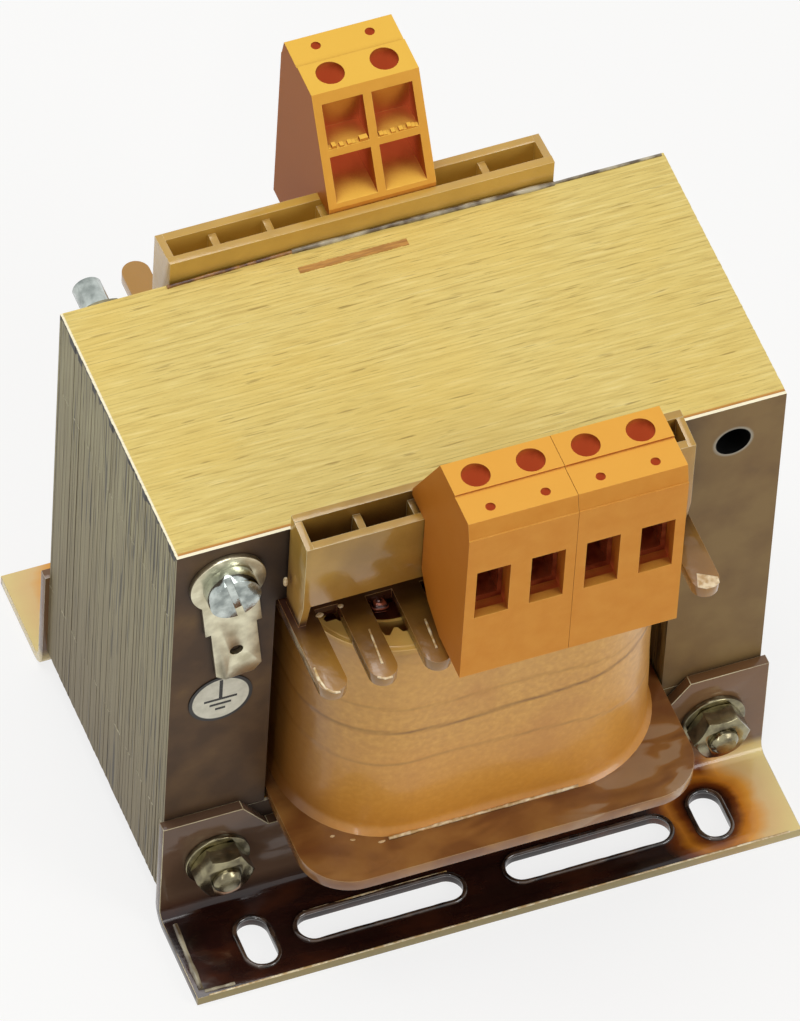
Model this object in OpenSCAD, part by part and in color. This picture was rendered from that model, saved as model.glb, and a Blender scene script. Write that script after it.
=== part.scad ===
// Laminated chassis transformer: interleaved E and I sheets, a moulded coil former with
// plug-in screw terminals on two rails, two slotted foot brackets and an earth tab.
// Millimetres, +Z up, feet on Z = 0, width along X, front with two housings at -Y.

/* [Laminated core] */
// Width of an outer leg and of a yoke; the centre leg is twice as wide
leg_w = 14; // [11:0.5:18]
// Width of each winding window
window_w = 14; // [13.5:0.5:18]
// Height of each winding window
window_h = 42; // [36:0.5:60]
// Number of interleaved packs, odd so that both faces are alike
sheet_packs = 21; // [15:2:25]
// Thickness of one pack of sheets
pack_t = 2.05; // [1.5:0.05:3]
// How far every second pack stands back at its edges
pack_slip = 0.1; // [0:0.05:0.4]
// Diameter of the four corner holes
core_hole_d = 4.8; // [4.5:0.1:5.6]
// Distance of the corner holes from the edges
core_hole_inset = 7; // [5.5:0.5:8]

/* [Coil former] */
// Gap between the centre leg and the former's tube
former_gap = 0.3; // [0.1:0.1:0.6]
// Wall thickness of the tube
former_wall = 1.2; // [0.8:0.1:1.8]
// Thickness of both flanges
flange_t = 1.8; // [1.2:0.1:2.4]
// Gap between the flanges and the yokes
flange_end_gap = 0.2; // [0.1:0.1:0.6]
// Gap between the flanges and the outer legs
flange_side_gap = 0.4; // [0.2:0.1:0.8]
// Reach of the lower flange past the core faces
flange_reach = 18; // [14:0.5:20]
// Corner radius of the lower flange
flange_corner_r = 7; // [2:0.5:10]
// Reach of the upper flange's plate past the core faces, where its fingers start
finger_root = 3; // [1:0.5:5]
// Reach of the fingers past the core faces
finger_reach = 16.3; // [13:0.1:20]
// Width of a finger
finger_w = 3.8; // [2.6:0.1:4.6]

/* [Terminal rails] */
// Pocket and pole pitch
pitch = 7.5; // [7.2:0.1:7.8]
// Number of pockets in each rail
pockets = 7; // [5:2:7]
// Shift of the pockets from the middle of the rail
pocket_shift = 0.5; // [0:0.1:1]
// Gap between the core and a rail
rail_stand = 0.5; // [0.2:0.1:1]
// Thickness of the rail's two long walls
rail_wall = 1.2; // [0.9:0.1:1.6]
// Clear width of a pocket, across the rail
pocket_w = 3.3; // [2.8:0.1:4.2]
// Height of the wall beside the core, above the core
rail_inner_rise = 3.4; // [2.8:0.1:5]
// Height of the outer wall above the core
rail_outer_rise = 2.8; // [1.6:0.1:4]
// Depth of the outer wall below the top of the core
rail_skirt = 9; // [7:0.5:11]
// Thickness of the pocket floor
rail_floor_t = 1; // [0.8:0.1:1.5]
// Thickness of the ribs between pockets
rib_t = 1; // [0.8:0.1:1.4]
// How far the ribs stop below the outer wall
rib_drop = 1.2; // [0.4:0.1:2]
// Diameter of the hole in each pocket floor
rail_hole_d = 2.2; // [1.4:0.1:2.6]

/* [Windings] */
// Radial build of the primary winding
primary_build = 4.4; // [3:0.1:4.8]
// Thickness of the insulation between the windings
insulation_t = 0.4; // [0.2:0.05:0.8]
// Radial build of the secondary winding
secondary_build = 4.4; // [3:0.1:4.8]
// Thickness of the outer tape
tape_t = 0.5; // [0.3:0.05:0.8]
// Extra build at the front and rear, where the wire bows out
winding_bow = 0.8; // [0:0.1:1.5]
// Corner radius of the innermost turn
corner_start_r = 0.6; // [0.2:0.1:1.5]
// Corner radius gained for each millimetre of build
corner_growth = 1.35; // [1:0.05:1.45]
// Gap between the wire and the upper flange
wire_top_gap = 3; // [1:0.5:5]
// Gap between the insulation or tape and the upper flange
tape_top_gap = 0.2; // [0.1:0.1:1]

/* [Terminal housings] */
// Height of a housing
housing_h = 30.7; // [28.5:0.1:31]
// Least gap between a housing's lower end and the finger flange under it
housing_foot_gap = 1.5; // [1:0.1:3]
// Height of the top above the housing's seat on the rail
housing_back_h = 15.2; // [14:0.1:17]
// Thickness of the body that hangs in front of the rail
housing_leg_t = 14.2; // [13.6:0.1:16]
// Depth of the top face
housing_top_t = 10.7; // [10.4:0.1:12]
// Gap between neighbouring housings
housing_seam = 0.05; // [0.05:0.05:0.4]
// Gap between a housing and the rail walls
housing_clear = 0.2; // [0.1:0.1:0.4]
// Step down of the outer part of the top
top_step = 0.3; // [0.1:0.1:0.8]
// Distance of the step from the outer face
top_step_set = 5.5; // [5:0.1:5.7]
// Height of the sloped nose under the top
nose_h = 3; // [1.5:0.1:4]
// Depth of the sloped nose
nose_t = 0.75; // [0.4:0.05:1.2]
// Ledge under the sloped nose
nose_step = 0.15; // [0.05:0.05:0.3]
// Depth of the cut-off heel
heel_t = 7; // [5:0.5:8]
// Height of the cut-off heel
heel_h = 5.7; // [4:0.1:7]
// Thickness of the webs that stiffen the back
web_t = 1.2; // [0.8:0.1:1.6]
// Height of the lip under the recesses in the back
recess_low = 1.8; // [1.4:0.1:3]
// Height of the rim over the recesses in the back
recess_high = 1.4; // [1:0.1:3]
// Thickness of the shelf across the webs
shelf_t = 0.9; // [0.6:0.1:1.4]
// Width of the grip that enters a pocket
grip_w = 5; // [3.5:0.1:5.6]
// Length of the grip below the housing's seat
grip_l = 8; // [5:0.5:9]
// Diameter of the screwdriver holes
screw_shaft_d = 3.8; // [3.7:0.1:4.2]
// Distance of the screwdriver holes from the outer face
screw_set = 7.8; // [7.6:0.1:8]
// Diameter of the test holes
test_hole_d = 1.3; // [0.8:0.1:1.8]
// Distance of the test holes from the outer face
test_hole_set = 2.6; // [2.4:0.1:3.4]
// Width of a wire entry
wire_w = 4.6; // [4.4:0.1:5]
// Height of a wire entry
wire_h = 9.1; // [8:0.1:9.6]
// Distance of the wire entry below the top
wire_drop = 9.9; // [9.2:0.1:10.4]
// Wall in front of the clamp chamber
chamber_wall = 1.3; // [0.9:0.1:1.6]

/* [Clamps] */
// Width of a clamp cage
cage_w = 5.4; // [5.2:0.1:5.8]
// Depth of a clamp cage
cage_t = 6.6; // [6:0.1:7]
// Thickness of the cage's sides
cage_side_t = 0.6; // [0.4:0.05:0.7]
// Thickness of the cage's top and bottom
cage_end_t = 1; // [0.8:0.1:1.2]
// Gap between a cage and its chamber
cage_clear = 0.1; // [0.05:0.05:0.2]
// Gap between a cage and the wall in front of it
cage_set = 2; // [1.7:0.1:2.1]
// Diameter of a clamp screw
clamp_screw_d = 2.5; // [2:0.1:2.6]
// Head diameter of a clamp screw
clamp_head_d = 3.5; // [3.2:0.1:3.6]
// Head height of a clamp screw
clamp_head_h = 2.2; // [1.6:0.1:3]
// Length of a clamp screw below its head
clamp_screw_l = 4.6; // [3:0.1:5]
// Thickness of the solder pin under each cage
pin_t = 0.8; // [0.6:0.1:1]
// Length of the solder pin below its housing
pin_l = 1; // [0.6:0.1:1.2]
// Gap round a solder pin in its housing
pin_clear = 0.3; // [0.1:0.1:0.4]
// Diameter of the leads from the winding to the pins
lead_d = 1; // [0.6:0.1:1.4]

/* [Foot brackets] */
// Thickness of the bracket sheet
sheet_t = 1.5; // [1:0.1:2]
// Reach of a bracket past the core at each end
bracket_over = 0.65; // [0.5:0.05:3]
// Inside bend radius
bend_r = 1.5; // [1:0.1:2]
// Height of the core above the floor
foot_drop = 4.2; // [2:0.1:5]
// Reach of the feet past the core faces
foot_reach = 15.9; // [15:0.1:22]
// Height of the two ears
ear_h = 19.7; // [18.5:0.1:22]
// Height of the web between the ears
bracket_web_h = 15; // [12:0.1:15.5]
// Diameter of the hole in each ear
ear_hole_d = 4.5; // [4.2:0.1:5]
// Width of an ear along its top
ear_w = 11.15; // [10:0.05:12]
// Run of the slope from an ear down to the web
ear_slope = 3.7; // [2:0.1:5]
// Distance of the corner slots from the ends of a bracket
corner_slot_set = 10.65; // [8:0.05:12]
// Distance of all slots from the core faces
slot_set = 9.725; // [9.5:0.025:11]
// Length of a corner slot
corner_slot_l = 8; // [6:0.5:9]
// Width of all slots
slot_w = 4.5; // [4:0.1:5.5]
// Spacing of the long slots along X
long_slot_x = 29.4; // [28:0.1:30]
// Length of a long slot
long_slot_l = 23.4; // [16:0.1:24]

/* [Core bolts] */
// Bolt diameter
bolt_d = 4; // [3:0.1:4]
// Gap round a bolt or screw in its nut and washers
bolt_clear = 0.05; // [0.02:0.01:0.1]
// Width across flats of nuts and bolt heads
nut_af = 7; // [6:0.1:8]
// Width that the chamfer takes off the flats of nuts and bolt heads
nut_edge = 0.1; // [0.05:0.05:0.4]
// Height of a nut
nut_h = 3.2; // [2.4:0.1:4]
// Height of a bolt head
bolt_head_h = 2.8; // [2:0.1:3.5]
// Length of bolt that stands out of its nut
bolt_end = 1.1; // [0.6:0.1:3]
// Washer diameter
washer_d = 9; // [8:0.1:10]
// Washer hole diameter
washer_hole_d = 4.3; // [4.2:0.1:4.6]
// Washer thickness
washer_t = 0.8; // [0.5:0.1:1.2]

/* [Earth terminal] */
// Thickness of the earth tab
tab_t = 0.8; // [0.5:0.1:1]
// Outside diameter of the tab's ring
tab_ring_d = 10.3; // [9:0.1:11.5]
// Width of the tab's neck
tab_neck_w = 7.8; // [7:0.1:8.6]
// Distance from the ring's centre to the blade's shoulders
tab_shoulder = 9.4; // [8:0.1:10.5]
// Width of the blade
blade_w = 6.3; // [4.8:0.1:6.5]
// Length of the blade
blade_l = 10.3; // [8:0.1:11]
// Distance of the blade's hole from its shoulders
blade_hole_set = 4.8; // [3.5:0.1:5.5]
// Diameter of the blade's hole
blade_hole_d = 1.8; // [1.2:0.1:2]
// Chamfer at the blade's end
blade_chamfer = 1.2; // [0.5:0.1:1.8]
// Turn of the tab on its screw, in degrees
tab_turn = 6.5; // [0:0.5:10]
// Head diameter of the earth screw
earth_head_d = 7; // [6:0.1:8]
// Head height of the earth screw
earth_head_h = 2.6; // [2:0.1:3.2]
// Turn of the screw's slot, in degrees
earth_slot_turn = 15; // [0:5:90]
// Width of the screw's slot
earth_slot_w = 1; // [0.8:0.1:1.6]
// Depth of the screw's slot
earth_slot_d = 1.2; // [0.6:0.1:1.6]
// Length of earth screw that stands out behind the core
earth_screw_end = 8.5; // [5:0.1:14]
// Diameter of the earth label
label_d = 8.8; // [6:0.1:10]
// Thickness of the label
label_t = 0.15; // [0.1:0.05:0.3]
// Gap between the tab's end and the label
label_gap = 0.1; // [0.1:0.1:4]

/* [Hidden] */
$fn = 48;
eps = 0.5;                                  // overshoot of cuts
FRONT = -1;
REAR = 1;

core_w = 4 * leg_w + 2 * window_w;
core_h = window_h + 2 * leg_w;
core_top = foot_drop + core_h;
stack_t = sheet_packs * pack_t;
face_y = stack_t / 2;
hole_x = core_w / 2 - core_hole_inset;
hole_low_z = foot_drop + core_hole_inset;
hole_high_z = core_top - core_hole_inset;

seat_z = core_top + rail_outer_rise;        // housings sit on the rails' outer walls
h_top = seat_z + housing_back_h;
h_low = h_top - housing_h;

tube_x = leg_w + former_gap;                // inside of the tube, half width
tube_y = face_y + former_gap;
flange_x = leg_w + window_w - flange_side_gap;
low_flange_z = foot_drop + leg_w + flange_end_gap;
high_flange_top = min(core_top - leg_w - flange_end_gap, h_low - housing_foot_gap);
high_flange_z = high_flange_top - flange_t;
coil_z = low_flange_z + flange_t;           // floor of the winding space

rail_l = pockets * pitch + rib_t;
rail_y0 = face_y + rail_stand;              // the rail's inner wall starts here
rail_y1 = rail_y0 + rail_wall;              // pockets start here
rail_y2 = rail_y1 + pocket_w;               // pockets end here
rail_y3 = rail_y2 + rail_wall;              // outer face of the rail
rail_low_z = core_top - rail_skirt;

total_build = primary_build + insulation_t + secondary_build + tape_t;

housing_w = 2 * pitch - housing_seam;
h_back = rail_y1 + housing_clear;           // tip of the housing's back
h_leg = rail_y3 + housing_clear;            // back of the hanging body
h_out = h_leg + housing_leg_t;              // outer face
h_top_y = h_out - housing_top_t;
screw_y = h_out - screw_set;
wire_top = h_top - wire_drop;
wire_low = wire_top - wire_h;
chamber_y1 = h_out - chamber_wall;
cage_y1 = chamber_y1 - cage_set;            // front of a cage
cage_y0 = cage_y1 - cage_t;
cage_top = wire_top + cage_end_t;
cage_low = wire_low - cage_end_t;
pin_y = cage_y0 + pin_t / 2;

bracket_w = core_w + 2 * bracket_over;
ear_inner_x = bracket_w / 2 - ear_w;
low_web_x = ear_inner_x - ear_slope;
corner_slot_x = bracket_w - 2 * corner_slot_set;
slot_y = stack_t + 2 * slot_set;
bracket_y = face_y + sheet_t;               // outer face of a bracket's web
bend_out_r = bend_r + sheet_t;
washer_y = bracket_y + washer_t;
tab_l = tab_shoulder + blade_l;
label_drop = tab_l * cos(tab_turn) + (blade_w / 2 - blade_chamfer) * sin(tab_turn)
    + label_gap + label_d / 2;

// side and centre of each housing, the centre in pocket pitches
HOUSINGS = [[FRONT, -0.5], [FRONT, 1.5], [REAR, 0.5]];
BOLT_SIDES = [["left", -1], ["right", 1]];

function pole_side(i) = HOUSINGS[floor((i - 1) / 2)][0];
function pole_x(i) = rail_x((HOUSINGS[floor((i - 1) / 2)][1] + ((i - 1) % 2) - 0.5), pole_side(i));
function rail_x(steps, side) = steps * pitch - side * pocket_shift;
function coil_half_x(build) = tube_x + former_wall + build;
function coil_half_y(build) = tube_y + former_wall + build * (1 + winding_bow / total_build);
function coil_r(build) = corner_start_r + corner_growth * build;

// ---- helpers ----

// Extrudes a Y-Z outline along X, centred on X = 0
module along_x(length) {
    rotate([90, 0, 90]) linear_extrude(length, center = true) children();
}

// Extrudes an X-Z outline along Y, from y0 to y1
module along_y(y0, y1) {
    translate([0, y1, 0]) rotate([90, 0, 0]) linear_extrude(y1 - y0) children();
}

// A box from its lowest to its highest corner
module box(low, high) {
    translate(low) cube(high - low);
}

// Turns what is drawn for the rear round to the front
module on_side(side) {
    rotate([0, 0, side == REAR ? 0 : 180]) children();
}

module rounded_rect(half_x, half_y, r) {
    square([2 * half_x, 2 * (half_y - r)], center = true);
    square([2 * (half_x - r), 2 * half_y], center = true);
    for (sx = [-1, 1], sy = [-1, 1])
        translate([sx * (half_x - r), sy * (half_y - r)]) circle(r);
}

module slot2d(length, width, turn) {
    rotate(turn) {
        square([length - width, width], center = true);
        for (s = [-1, 1]) translate([s * (length - width) / 2, 0]) circle(d = width);
    }
}

// A hexagon with both edges chamfered, standing on Z = 0
module hexagon(across_flats, height) {
    corner_r = across_flats / 2 / cos(30);
    flat_r = across_flats / 2 - nut_edge;
    rise = (corner_r - flat_r) * tan(30);
    intersection() {
        cylinder(r = corner_r, h = height, $fn = 6);
        rotate_extrude()
            polygon([[0, 0], [flat_r, 0], [corner_r, rise], [corner_r, height - rise],
                     [flat_r, height], [0, height]]);
    }
}

// Stands children up along Y, so that their +Z points away from the core on the given side
module outward(side, x, y, z) {
    translate([x, side * y, z]) rotate([side == REAR ? -90 : 90, 0, 0]) children();
}

// ---- laminated core ----

module corner_holes2d(z) {
    for (s = [-1, 1]) translate([s * hole_x, z]) circle(d = core_hole_d);
}

// One E outline with its yoke on top
module e_outline(slip) {
    half = core_w / 2 - slip;
    difference() {
        translate([-half, foot_drop + leg_w]) square([2 * half, core_h - leg_w - slip]);
        for (s = [-1, 1])
            translate([s * (leg_w + window_w / 2) - window_w / 2, foot_drop + leg_w - eps])
                square([window_w, window_h + eps]);
        corner_holes2d(hole_high_z);
    }
}

// One I outline, as the bottom yoke
module i_outline(slip) {
    half = core_w / 2 - slip;
    difference() {
        translate([-half, foot_drop + slip]) square([2 * half, leg_w - slip]);
        corner_holes2d(hole_low_z);
    }
}

module upside_down() {
    translate([0, foot_drop + core_top]) mirror([0, 1]) children();
}

// Draws its outline as every second pack, from the given one on
module packs(first) {
    for (i = [first:2:sheet_packs - 1])
        along_y(-face_y + i * pack_t, -face_y + (i + 1) * pack_t) children();
}

module e_sheets_upright() {
    color("#8a7c5c") packs(0) e_outline(0);
}

module i_bars_lower() {
    color("#8a7c5c") packs(0) i_outline(0);
}

module e_sheets_inverted() {
    color("#7d7154") packs(1) upside_down() e_outline(pack_slip);
}

module i_bars_upper() {
    color("#7d7154") packs(1) upside_down() i_outline(pack_slip);
}

// ---- coil former: tube, two flanges, and a pocketed rail on each side ----

module tube_hole2d() {
    square([2 * tube_x, 2 * tube_y], center = true);
}

// Fingers stand under the ribs; the outermost end flush with the flange
module fingers2d() {
    r = finger_w / 2;
    tip = face_y + finger_reach;
    for (k = [0:pockets], s = [-1, 1]) {
        rib_x = (k - pockets / 2) * pitch;
        x = sign(rib_x) * min(abs(rib_x), flange_x - r);
        translate([x - r, s > 0 ? 0 : -(tip - r)]) square([finger_w, tip - r]);
        translate([x, s * (tip - r)]) circle(r);
    }
}

module upper_flange2d() {
    difference() {
        union() {
            square([2 * flange_x, 2 * (face_y + finger_root)], center = true);
            fingers2d();
        }
        tube_hole2d();
    }
}

module lower_flange2d() {
    difference() {
        rounded_rect(flange_x, face_y + flange_reach, flange_corner_r);
        tube_hole2d();
    }
}

// A row of pockets with a high wall beside the core and a lower one outside
module terminal_rail() {
    half = rail_l / 2;
    difference() {
        union() {
            box([-half, rail_y0, high_flange_top], [half, rail_y1, core_top + rail_inner_rise]);
            box([-half, rail_y2, rail_low_z], [half, rail_y3, seat_z]);
            box([-half, rail_y1, rail_low_z], [half, rail_y2, rail_low_z + rail_floor_t]);
            for (k = [1:pockets - 1]) {
                x = rail_x(k - pockets / 2, REAR);
                box([x - rib_t / 2, rail_y1, rail_low_z], [x + rib_t / 2, rail_y2, seat_z - rib_drop]);
            }
            for (s = [-1, 1])
                translate([s * (half - rib_t / 2), 0, 0]) along_x(rib_t) rail_end2d();
        }
        for (k = [1:pockets])
            translate([rail_x(k - 0.5 - pockets / 2, REAR), (rail_y1 + rail_y2) / 2, rail_low_z - eps])
                cylinder(d = rail_hole_d, h = rail_floor_t + 2 * eps);
    }
}

// End wall of a rail: a sloped top, and a foot down to the flange
module rail_end2d() {
    polygon([[rail_y0, high_flange_top], [rail_y2, high_flange_top], [rail_y3, rail_low_z],
             [rail_y3, seat_z], [rail_y0, core_top + rail_inner_rise]]);
}

module coil_former() {
    color("#c8963c") {
        difference() {
            translate([0, 0, low_flange_z])
                linear_extrude(high_flange_top - low_flange_z)
                    square([2 * (tube_x + former_wall), 2 * (tube_y + former_wall)], center = true);
            translate([0, 0, low_flange_z - eps])
                linear_extrude(high_flange_top - low_flange_z + 2 * eps) tube_hole2d();
        }
        translate([0, 0, low_flange_z]) linear_extrude(flange_t) lower_flange2d();
        translate([0, 0, high_flange_z]) linear_extrude(flange_t) upper_flange2d();
        for (side = [FRONT, REAR]) on_side(side) terminal_rail();
    }
}

// ---- windings, wound one over the other on the former ----

// A closed layer between two builds, from the lower flange up to a gap under the upper one
module coil_layer(inner, outer, top_gap) {
    height = high_flange_z - coil_z - top_gap;
    translate([0, 0, coil_z]) linear_extrude(height) difference() {
        rounded_rect(coil_half_x(outer), coil_half_y(outer), coil_r(outer));
        rounded_rect(coil_half_x(inner), coil_half_y(inner), coil_r(inner));
    }
}

module primary_winding() {
    color("#9c4a26") translate([0, 0, coil_z])
        linear_extrude(high_flange_z - coil_z - wire_top_gap) difference() {
            rounded_rect(coil_half_x(primary_build), coil_half_y(primary_build), coil_r(primary_build));
            square([2 * (tube_x + former_wall), 2 * (tube_y + former_wall)], center = true);
        }
}

module interlayer_insulation() {
    color("#d8b468") coil_layer(primary_build, primary_build + insulation_t, tape_top_gap);
}

module secondary_winding() {
    color("#8c3c22")
        coil_layer(primary_build + insulation_t, total_build - tape_t, wire_top_gap);
}

module outer_tape() {
    color("#b98a3c") coil_layer(total_build - tape_t, total_build, tape_top_gap);
}

// ---- terminal housings, clamps and leads, drawn for the rear ----

// Side outline of a housing: it straddles the rail's outer wall and slopes back to the inner one
module housing2d() {
    step_y = h_out - top_step_set;
    back_lip = 1.2;
    heel_in = heel_t * 0.37;                // the heel is cut off in two steps
    heel_up = heel_h * 0.39;
    polygon([[h_out, h_low], [h_out, h_top - nose_h], [h_out - nose_step, h_top - nose_h],
             [h_out - nose_t, h_top - top_step],
             [step_y, h_top - top_step], [step_y, h_top], [h_top_y, h_top],
             [h_back, seat_z + back_lip], [h_back, seat_z], [h_leg, seat_z],
             [h_leg, h_low + heel_h], [h_leg + heel_in, h_low + heel_up],
             [h_leg + heel_t, h_low]]);
}

// The four recesses in the sloped back of a housing
module back_recesses() {
    low = seat_z + recess_low;
    high = h_top - recess_high;
    middle = (low + high) / 2;
    for (s = [-1, 1]) {
        x0 = s > 0 ? web_t / 2 : -housing_w / 2 + web_t;
        x1 = s > 0 ? housing_w / 2 - web_t : -web_t / 2;
        box([x0, h_back - eps, low], [x1, h_top_y, middle - shelf_t / 2]);
        box([x0, h_back - eps, middle + shelf_t / 2], [x1, h_top_y, high]);
    }
}

// What each pole takes out of its housing
module pole_cuts() {
    half = cage_w / 2 + cage_clear;
    box([-half, cage_y0 - cage_clear, cage_low - cage_clear], [half, chamber_y1, cage_top + cage_clear]);
    box([-wire_w / 2, chamber_y1 - eps, wire_low], [wire_w / 2, h_out + eps, wire_top]);
    translate([0, screw_y, cage_top]) cylinder(d = screw_shaft_d, h = h_top - cage_top + eps);
    translate([0, h_out - test_hole_set, cage_top]) cylinder(d = test_hole_d, h = h_top - cage_top + eps);
    pin_half = pin_t / 2 + pin_clear;
    box([-pin_half, pin_y - pin_half, h_low - eps], [pin_half, pin_y + pin_half, cage_low]);
}

// The grip that a housing pushes into the pocket under each pole
module pocket_grip() {
    y0 = h_back;
    y1 = rail_y2 - housing_clear;
    tip = 1;
    along_x(grip_w)
        polygon([[y0, seat_z + eps], [y0, seat_z - grip_l + tip], [y0 + tip * 0.6, seat_z - grip_l],
                 [y1 - tip * 0.6, seat_z - grip_l], [y1, seat_z - grip_l + tip], [y1, seat_z + eps]]);
}

module terminal_housing(i) {
    side = HOUSINGS[i - 1][0];
    centre = side * rail_x(HOUSINGS[i - 1][1], side);
    color("#e0a040") on_side(side) translate([centre, 0, 0]) {
        difference() {
            along_x(housing_w) housing2d();
            back_recesses();
            for (s = [-1, 1]) translate([s * pitch / 2, 0, 0]) pole_cuts();
        }
        for (s = [-1, 1]) translate([s * pitch / 2, 0, 0]) pocket_grip();
    }
}

// A rising-clamp cage with its solder pin
module clamp_cage(i) {
    half = cage_w / 2;
    color("#b9b48c") on_side(pole_side(i)) translate([pole_side(i) * pole_x(i), 0, 0]) {
        difference() {
            box([-half, cage_y0, cage_low], [half, cage_y1, cage_top]);
            box([-half + cage_side_t, cage_y0 - eps, cage_low + cage_end_t],
                [half - cage_side_t, cage_y1 + eps, cage_top - cage_end_t]);
            translate([0, screw_y, cage_low + 2 * cage_end_t])
                cylinder(d = clamp_screw_d + 2 * bolt_clear, h = cage_top - cage_low);
        }
        box([-pin_t / 2, pin_y - pin_t / 2, h_low - pin_l], [pin_t / 2, pin_y + pin_t / 2, cage_low]);
    }
}

module clamp_screw(i) {
    slot_w = 0.8;
    slot_d = 0.9;
    color("#c9c9c4") on_side(pole_side(i)) translate([pole_side(i) * pole_x(i), screw_y, cage_top])
        difference() {
            union() {
                cylinder(d = clamp_head_d, h = clamp_head_h);
                translate([0, 0, -clamp_screw_l]) cylinder(d = clamp_screw_d, h = clamp_screw_l + eps);
            }
            box([-slot_w / 2, -clamp_head_d, clamp_head_h - slot_d],
                [slot_w / 2, clamp_head_d, clamp_head_h + eps]);
        }
}

// A lead that leans from the top of the secondary winding to its pin
module winding_lead(i) {
    z0 = high_flange_z - wire_top_gap;
    z1 = h_low - pin_l;
    y0 = (coil_half_y(primary_build + insulation_t) + coil_half_y(total_build - tape_t)) / 2;
    lean = atan2(pin_y - y0, z1 - z0);
    color("#a8502c") on_side(pole_side(i)) translate([pole_side(i) * pole_x(i), 0, 0])
        intersection() {
            translate([0, y0, z0]) rotate([-lean, 0, 0])
                translate([0, 0, -lead_d]) cylinder(d = lead_d, h = z1 - z0 + 4 * lead_d);
            box([-lead_d, y0 - 3 * lead_d, z0], [lead_d, pin_y + 3 * lead_d, z1]);
        }
}

// ---- foot brackets, folded from sheet ----

module bracket_web2d() {
    half = bracket_w / 2;
    difference() {
        polygon([[-half, bend_out_r], [half, bend_out_r], [half, ear_h], [ear_inner_x, ear_h],
                 [low_web_x, bracket_web_h], [-low_web_x, bracket_web_h], [-ear_inner_x, ear_h],
                 [-half, ear_h]]);
        for (s = [-1, 1]) translate([s * hole_x, hole_low_z]) circle(d = ear_hole_d);
    }
}

module bracket_foot2d() {
    y0 = face_y + bend_out_r;
    difference() {
        translate([-bracket_w / 2, y0]) square([bracket_w, face_y + foot_reach - y0]);
        for (s = [-1, 1]) {
            translate([s * corner_slot_x / 2, slot_y / 2]) slot2d(corner_slot_l, slot_w, 90);
            translate([s * long_slot_x / 2, slot_y / 2]) slot2d(long_slot_l, slot_w, 0);
        }
    }
}

module bend2d() {
    translate([face_y + bend_out_r, bend_out_r]) intersection() {
        difference() {
            circle(bend_out_r);
            circle(bend_r);
        }
        translate([-bend_out_r - eps, -bend_out_r - eps]) square(bend_out_r + eps);
    }
}

module foot_bracket(side) {
    color("#4a2f22") on_side(side) {
        along_y(face_y, bracket_y) bracket_web2d();
        along_x(bracket_w) bend2d();
        linear_extrude(sheet_t) bracket_foot2d();
    }
}

// ---- core bolts, nuts and washers ----

module core_bolt(x) {
    reach = washer_y + nut_h + bolt_end;
    color("#b8b49a") outward(REAR, x, washer_y, hole_low_z) {
        hexagon(nut_af, bolt_head_h);
        translate([0, 0, -washer_y - reach + bolt_end / 2]) cylinder(d = bolt_d, h = washer_y + reach);
        translate([0, 0, -washer_y - reach]) cylinder(d1 = bolt_d - bolt_end, d2 = bolt_d, h = bolt_end / 2);
    }
}

module nut(side, x, y, z) {
    color("#b8b49a") outward(side, x, y, z) difference() {
        hexagon(nut_af, nut_h);
        translate([0, 0, -eps]) cylinder(d = bolt_d + 2 * bolt_clear, h = nut_h + 2 * eps);
    }
}

module washer(side, x) {
    color("#b8b49a") outward(side, x, bracket_y, hole_low_z) difference() {
        cylinder(d = washer_d, h = washer_t);
        translate([0, 0, -eps]) cylinder(d = washer_hole_d, h = washer_t + 2 * eps);
    }
}

// ---- earth terminal, on the upper left corner hole ----

module earth_tab() {
    color("#bdb58f") along_y(-face_y - tab_t, -face_y)
        translate([-hole_x, hole_high_z]) rotate(tab_turn) difference() {
            union() {
                circle(d = tab_ring_d);
                translate([-tab_neck_w / 2, -tab_shoulder]) square([tab_neck_w, tab_shoulder]);
                polygon([[-blade_w / 2, -tab_shoulder + eps], [-blade_w / 2, blade_chamfer - tab_l],
                         [blade_chamfer - blade_w / 2, -tab_l], [blade_w / 2 - blade_chamfer, -tab_l],
                         [blade_w / 2, blade_chamfer - tab_l], [blade_w / 2, -tab_shoulder + eps]]);
            }
            circle(d = washer_hole_d);
            translate([0, -tab_shoulder - blade_hole_set]) circle(d = blade_hole_d);
        }
}

// Slotted cheese-head screw, right through the core
module earth_screw() {
    head_y = face_y + tab_t;
    shank = head_y + face_y + earth_screw_end;
    color("#c9ccc8") outward(FRONT, -hole_x, head_y, hole_high_z) difference() {
        union() {
            cylinder(d = earth_head_d, h = earth_head_h);
            translate([0, 0, -shank]) cylinder(d = bolt_d, h = shank + eps);
        }
        rotate(earth_slot_turn) box([-earth_slot_w / 2, -earth_head_d, earth_head_h - earth_slot_d],
                                    [earth_slot_w / 2, earth_head_d, earth_head_h + eps]);
    }
}

module earth_label() {
    color("#f2efe4") outward(FRONT, -hole_x, face_y, hole_high_z - label_drop)
        cylinder(d = label_d, h = label_t);
}

// ---- nodes ----

e_sheets_upright();
e_sheets_inverted();
i_bars_lower();
i_bars_upper();
coil_former();
primary_winding();
interlayer_insulation();
secondary_winding();
outer_tape();
foot_bracket(FRONT);  // foot_bracket_front
foot_bracket(REAR);  // foot_bracket_rear
earth_screw();
earth_tab();
nut(REAR, -hole_x, face_y, hole_high_z);  // earth_nut
earth_label();
for (i = [1:3]) terminal_housing(i);
for (i = [1:6]) clamp_cage(i);
for (i = [1:6]) clamp_screw(i);
for (i = [1:6]) winding_lead(i);
for (s = BOLT_SIDES) core_bolt(s[1] * hole_x);
for (s = BOLT_SIDES) nut(FRONT, s[1] * hole_x, washer_y, hole_low_z);
for (s = BOLT_SIDES) washer(FRONT, s[1] * hole_x);
for (s = BOLT_SIDES) washer(REAR, s[1] * hole_x);
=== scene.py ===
"""Laminated chassis transformer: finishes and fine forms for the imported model."""
import math
import random

import bmesh
import bpy
from mathutils import Matrix, Vector


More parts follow.
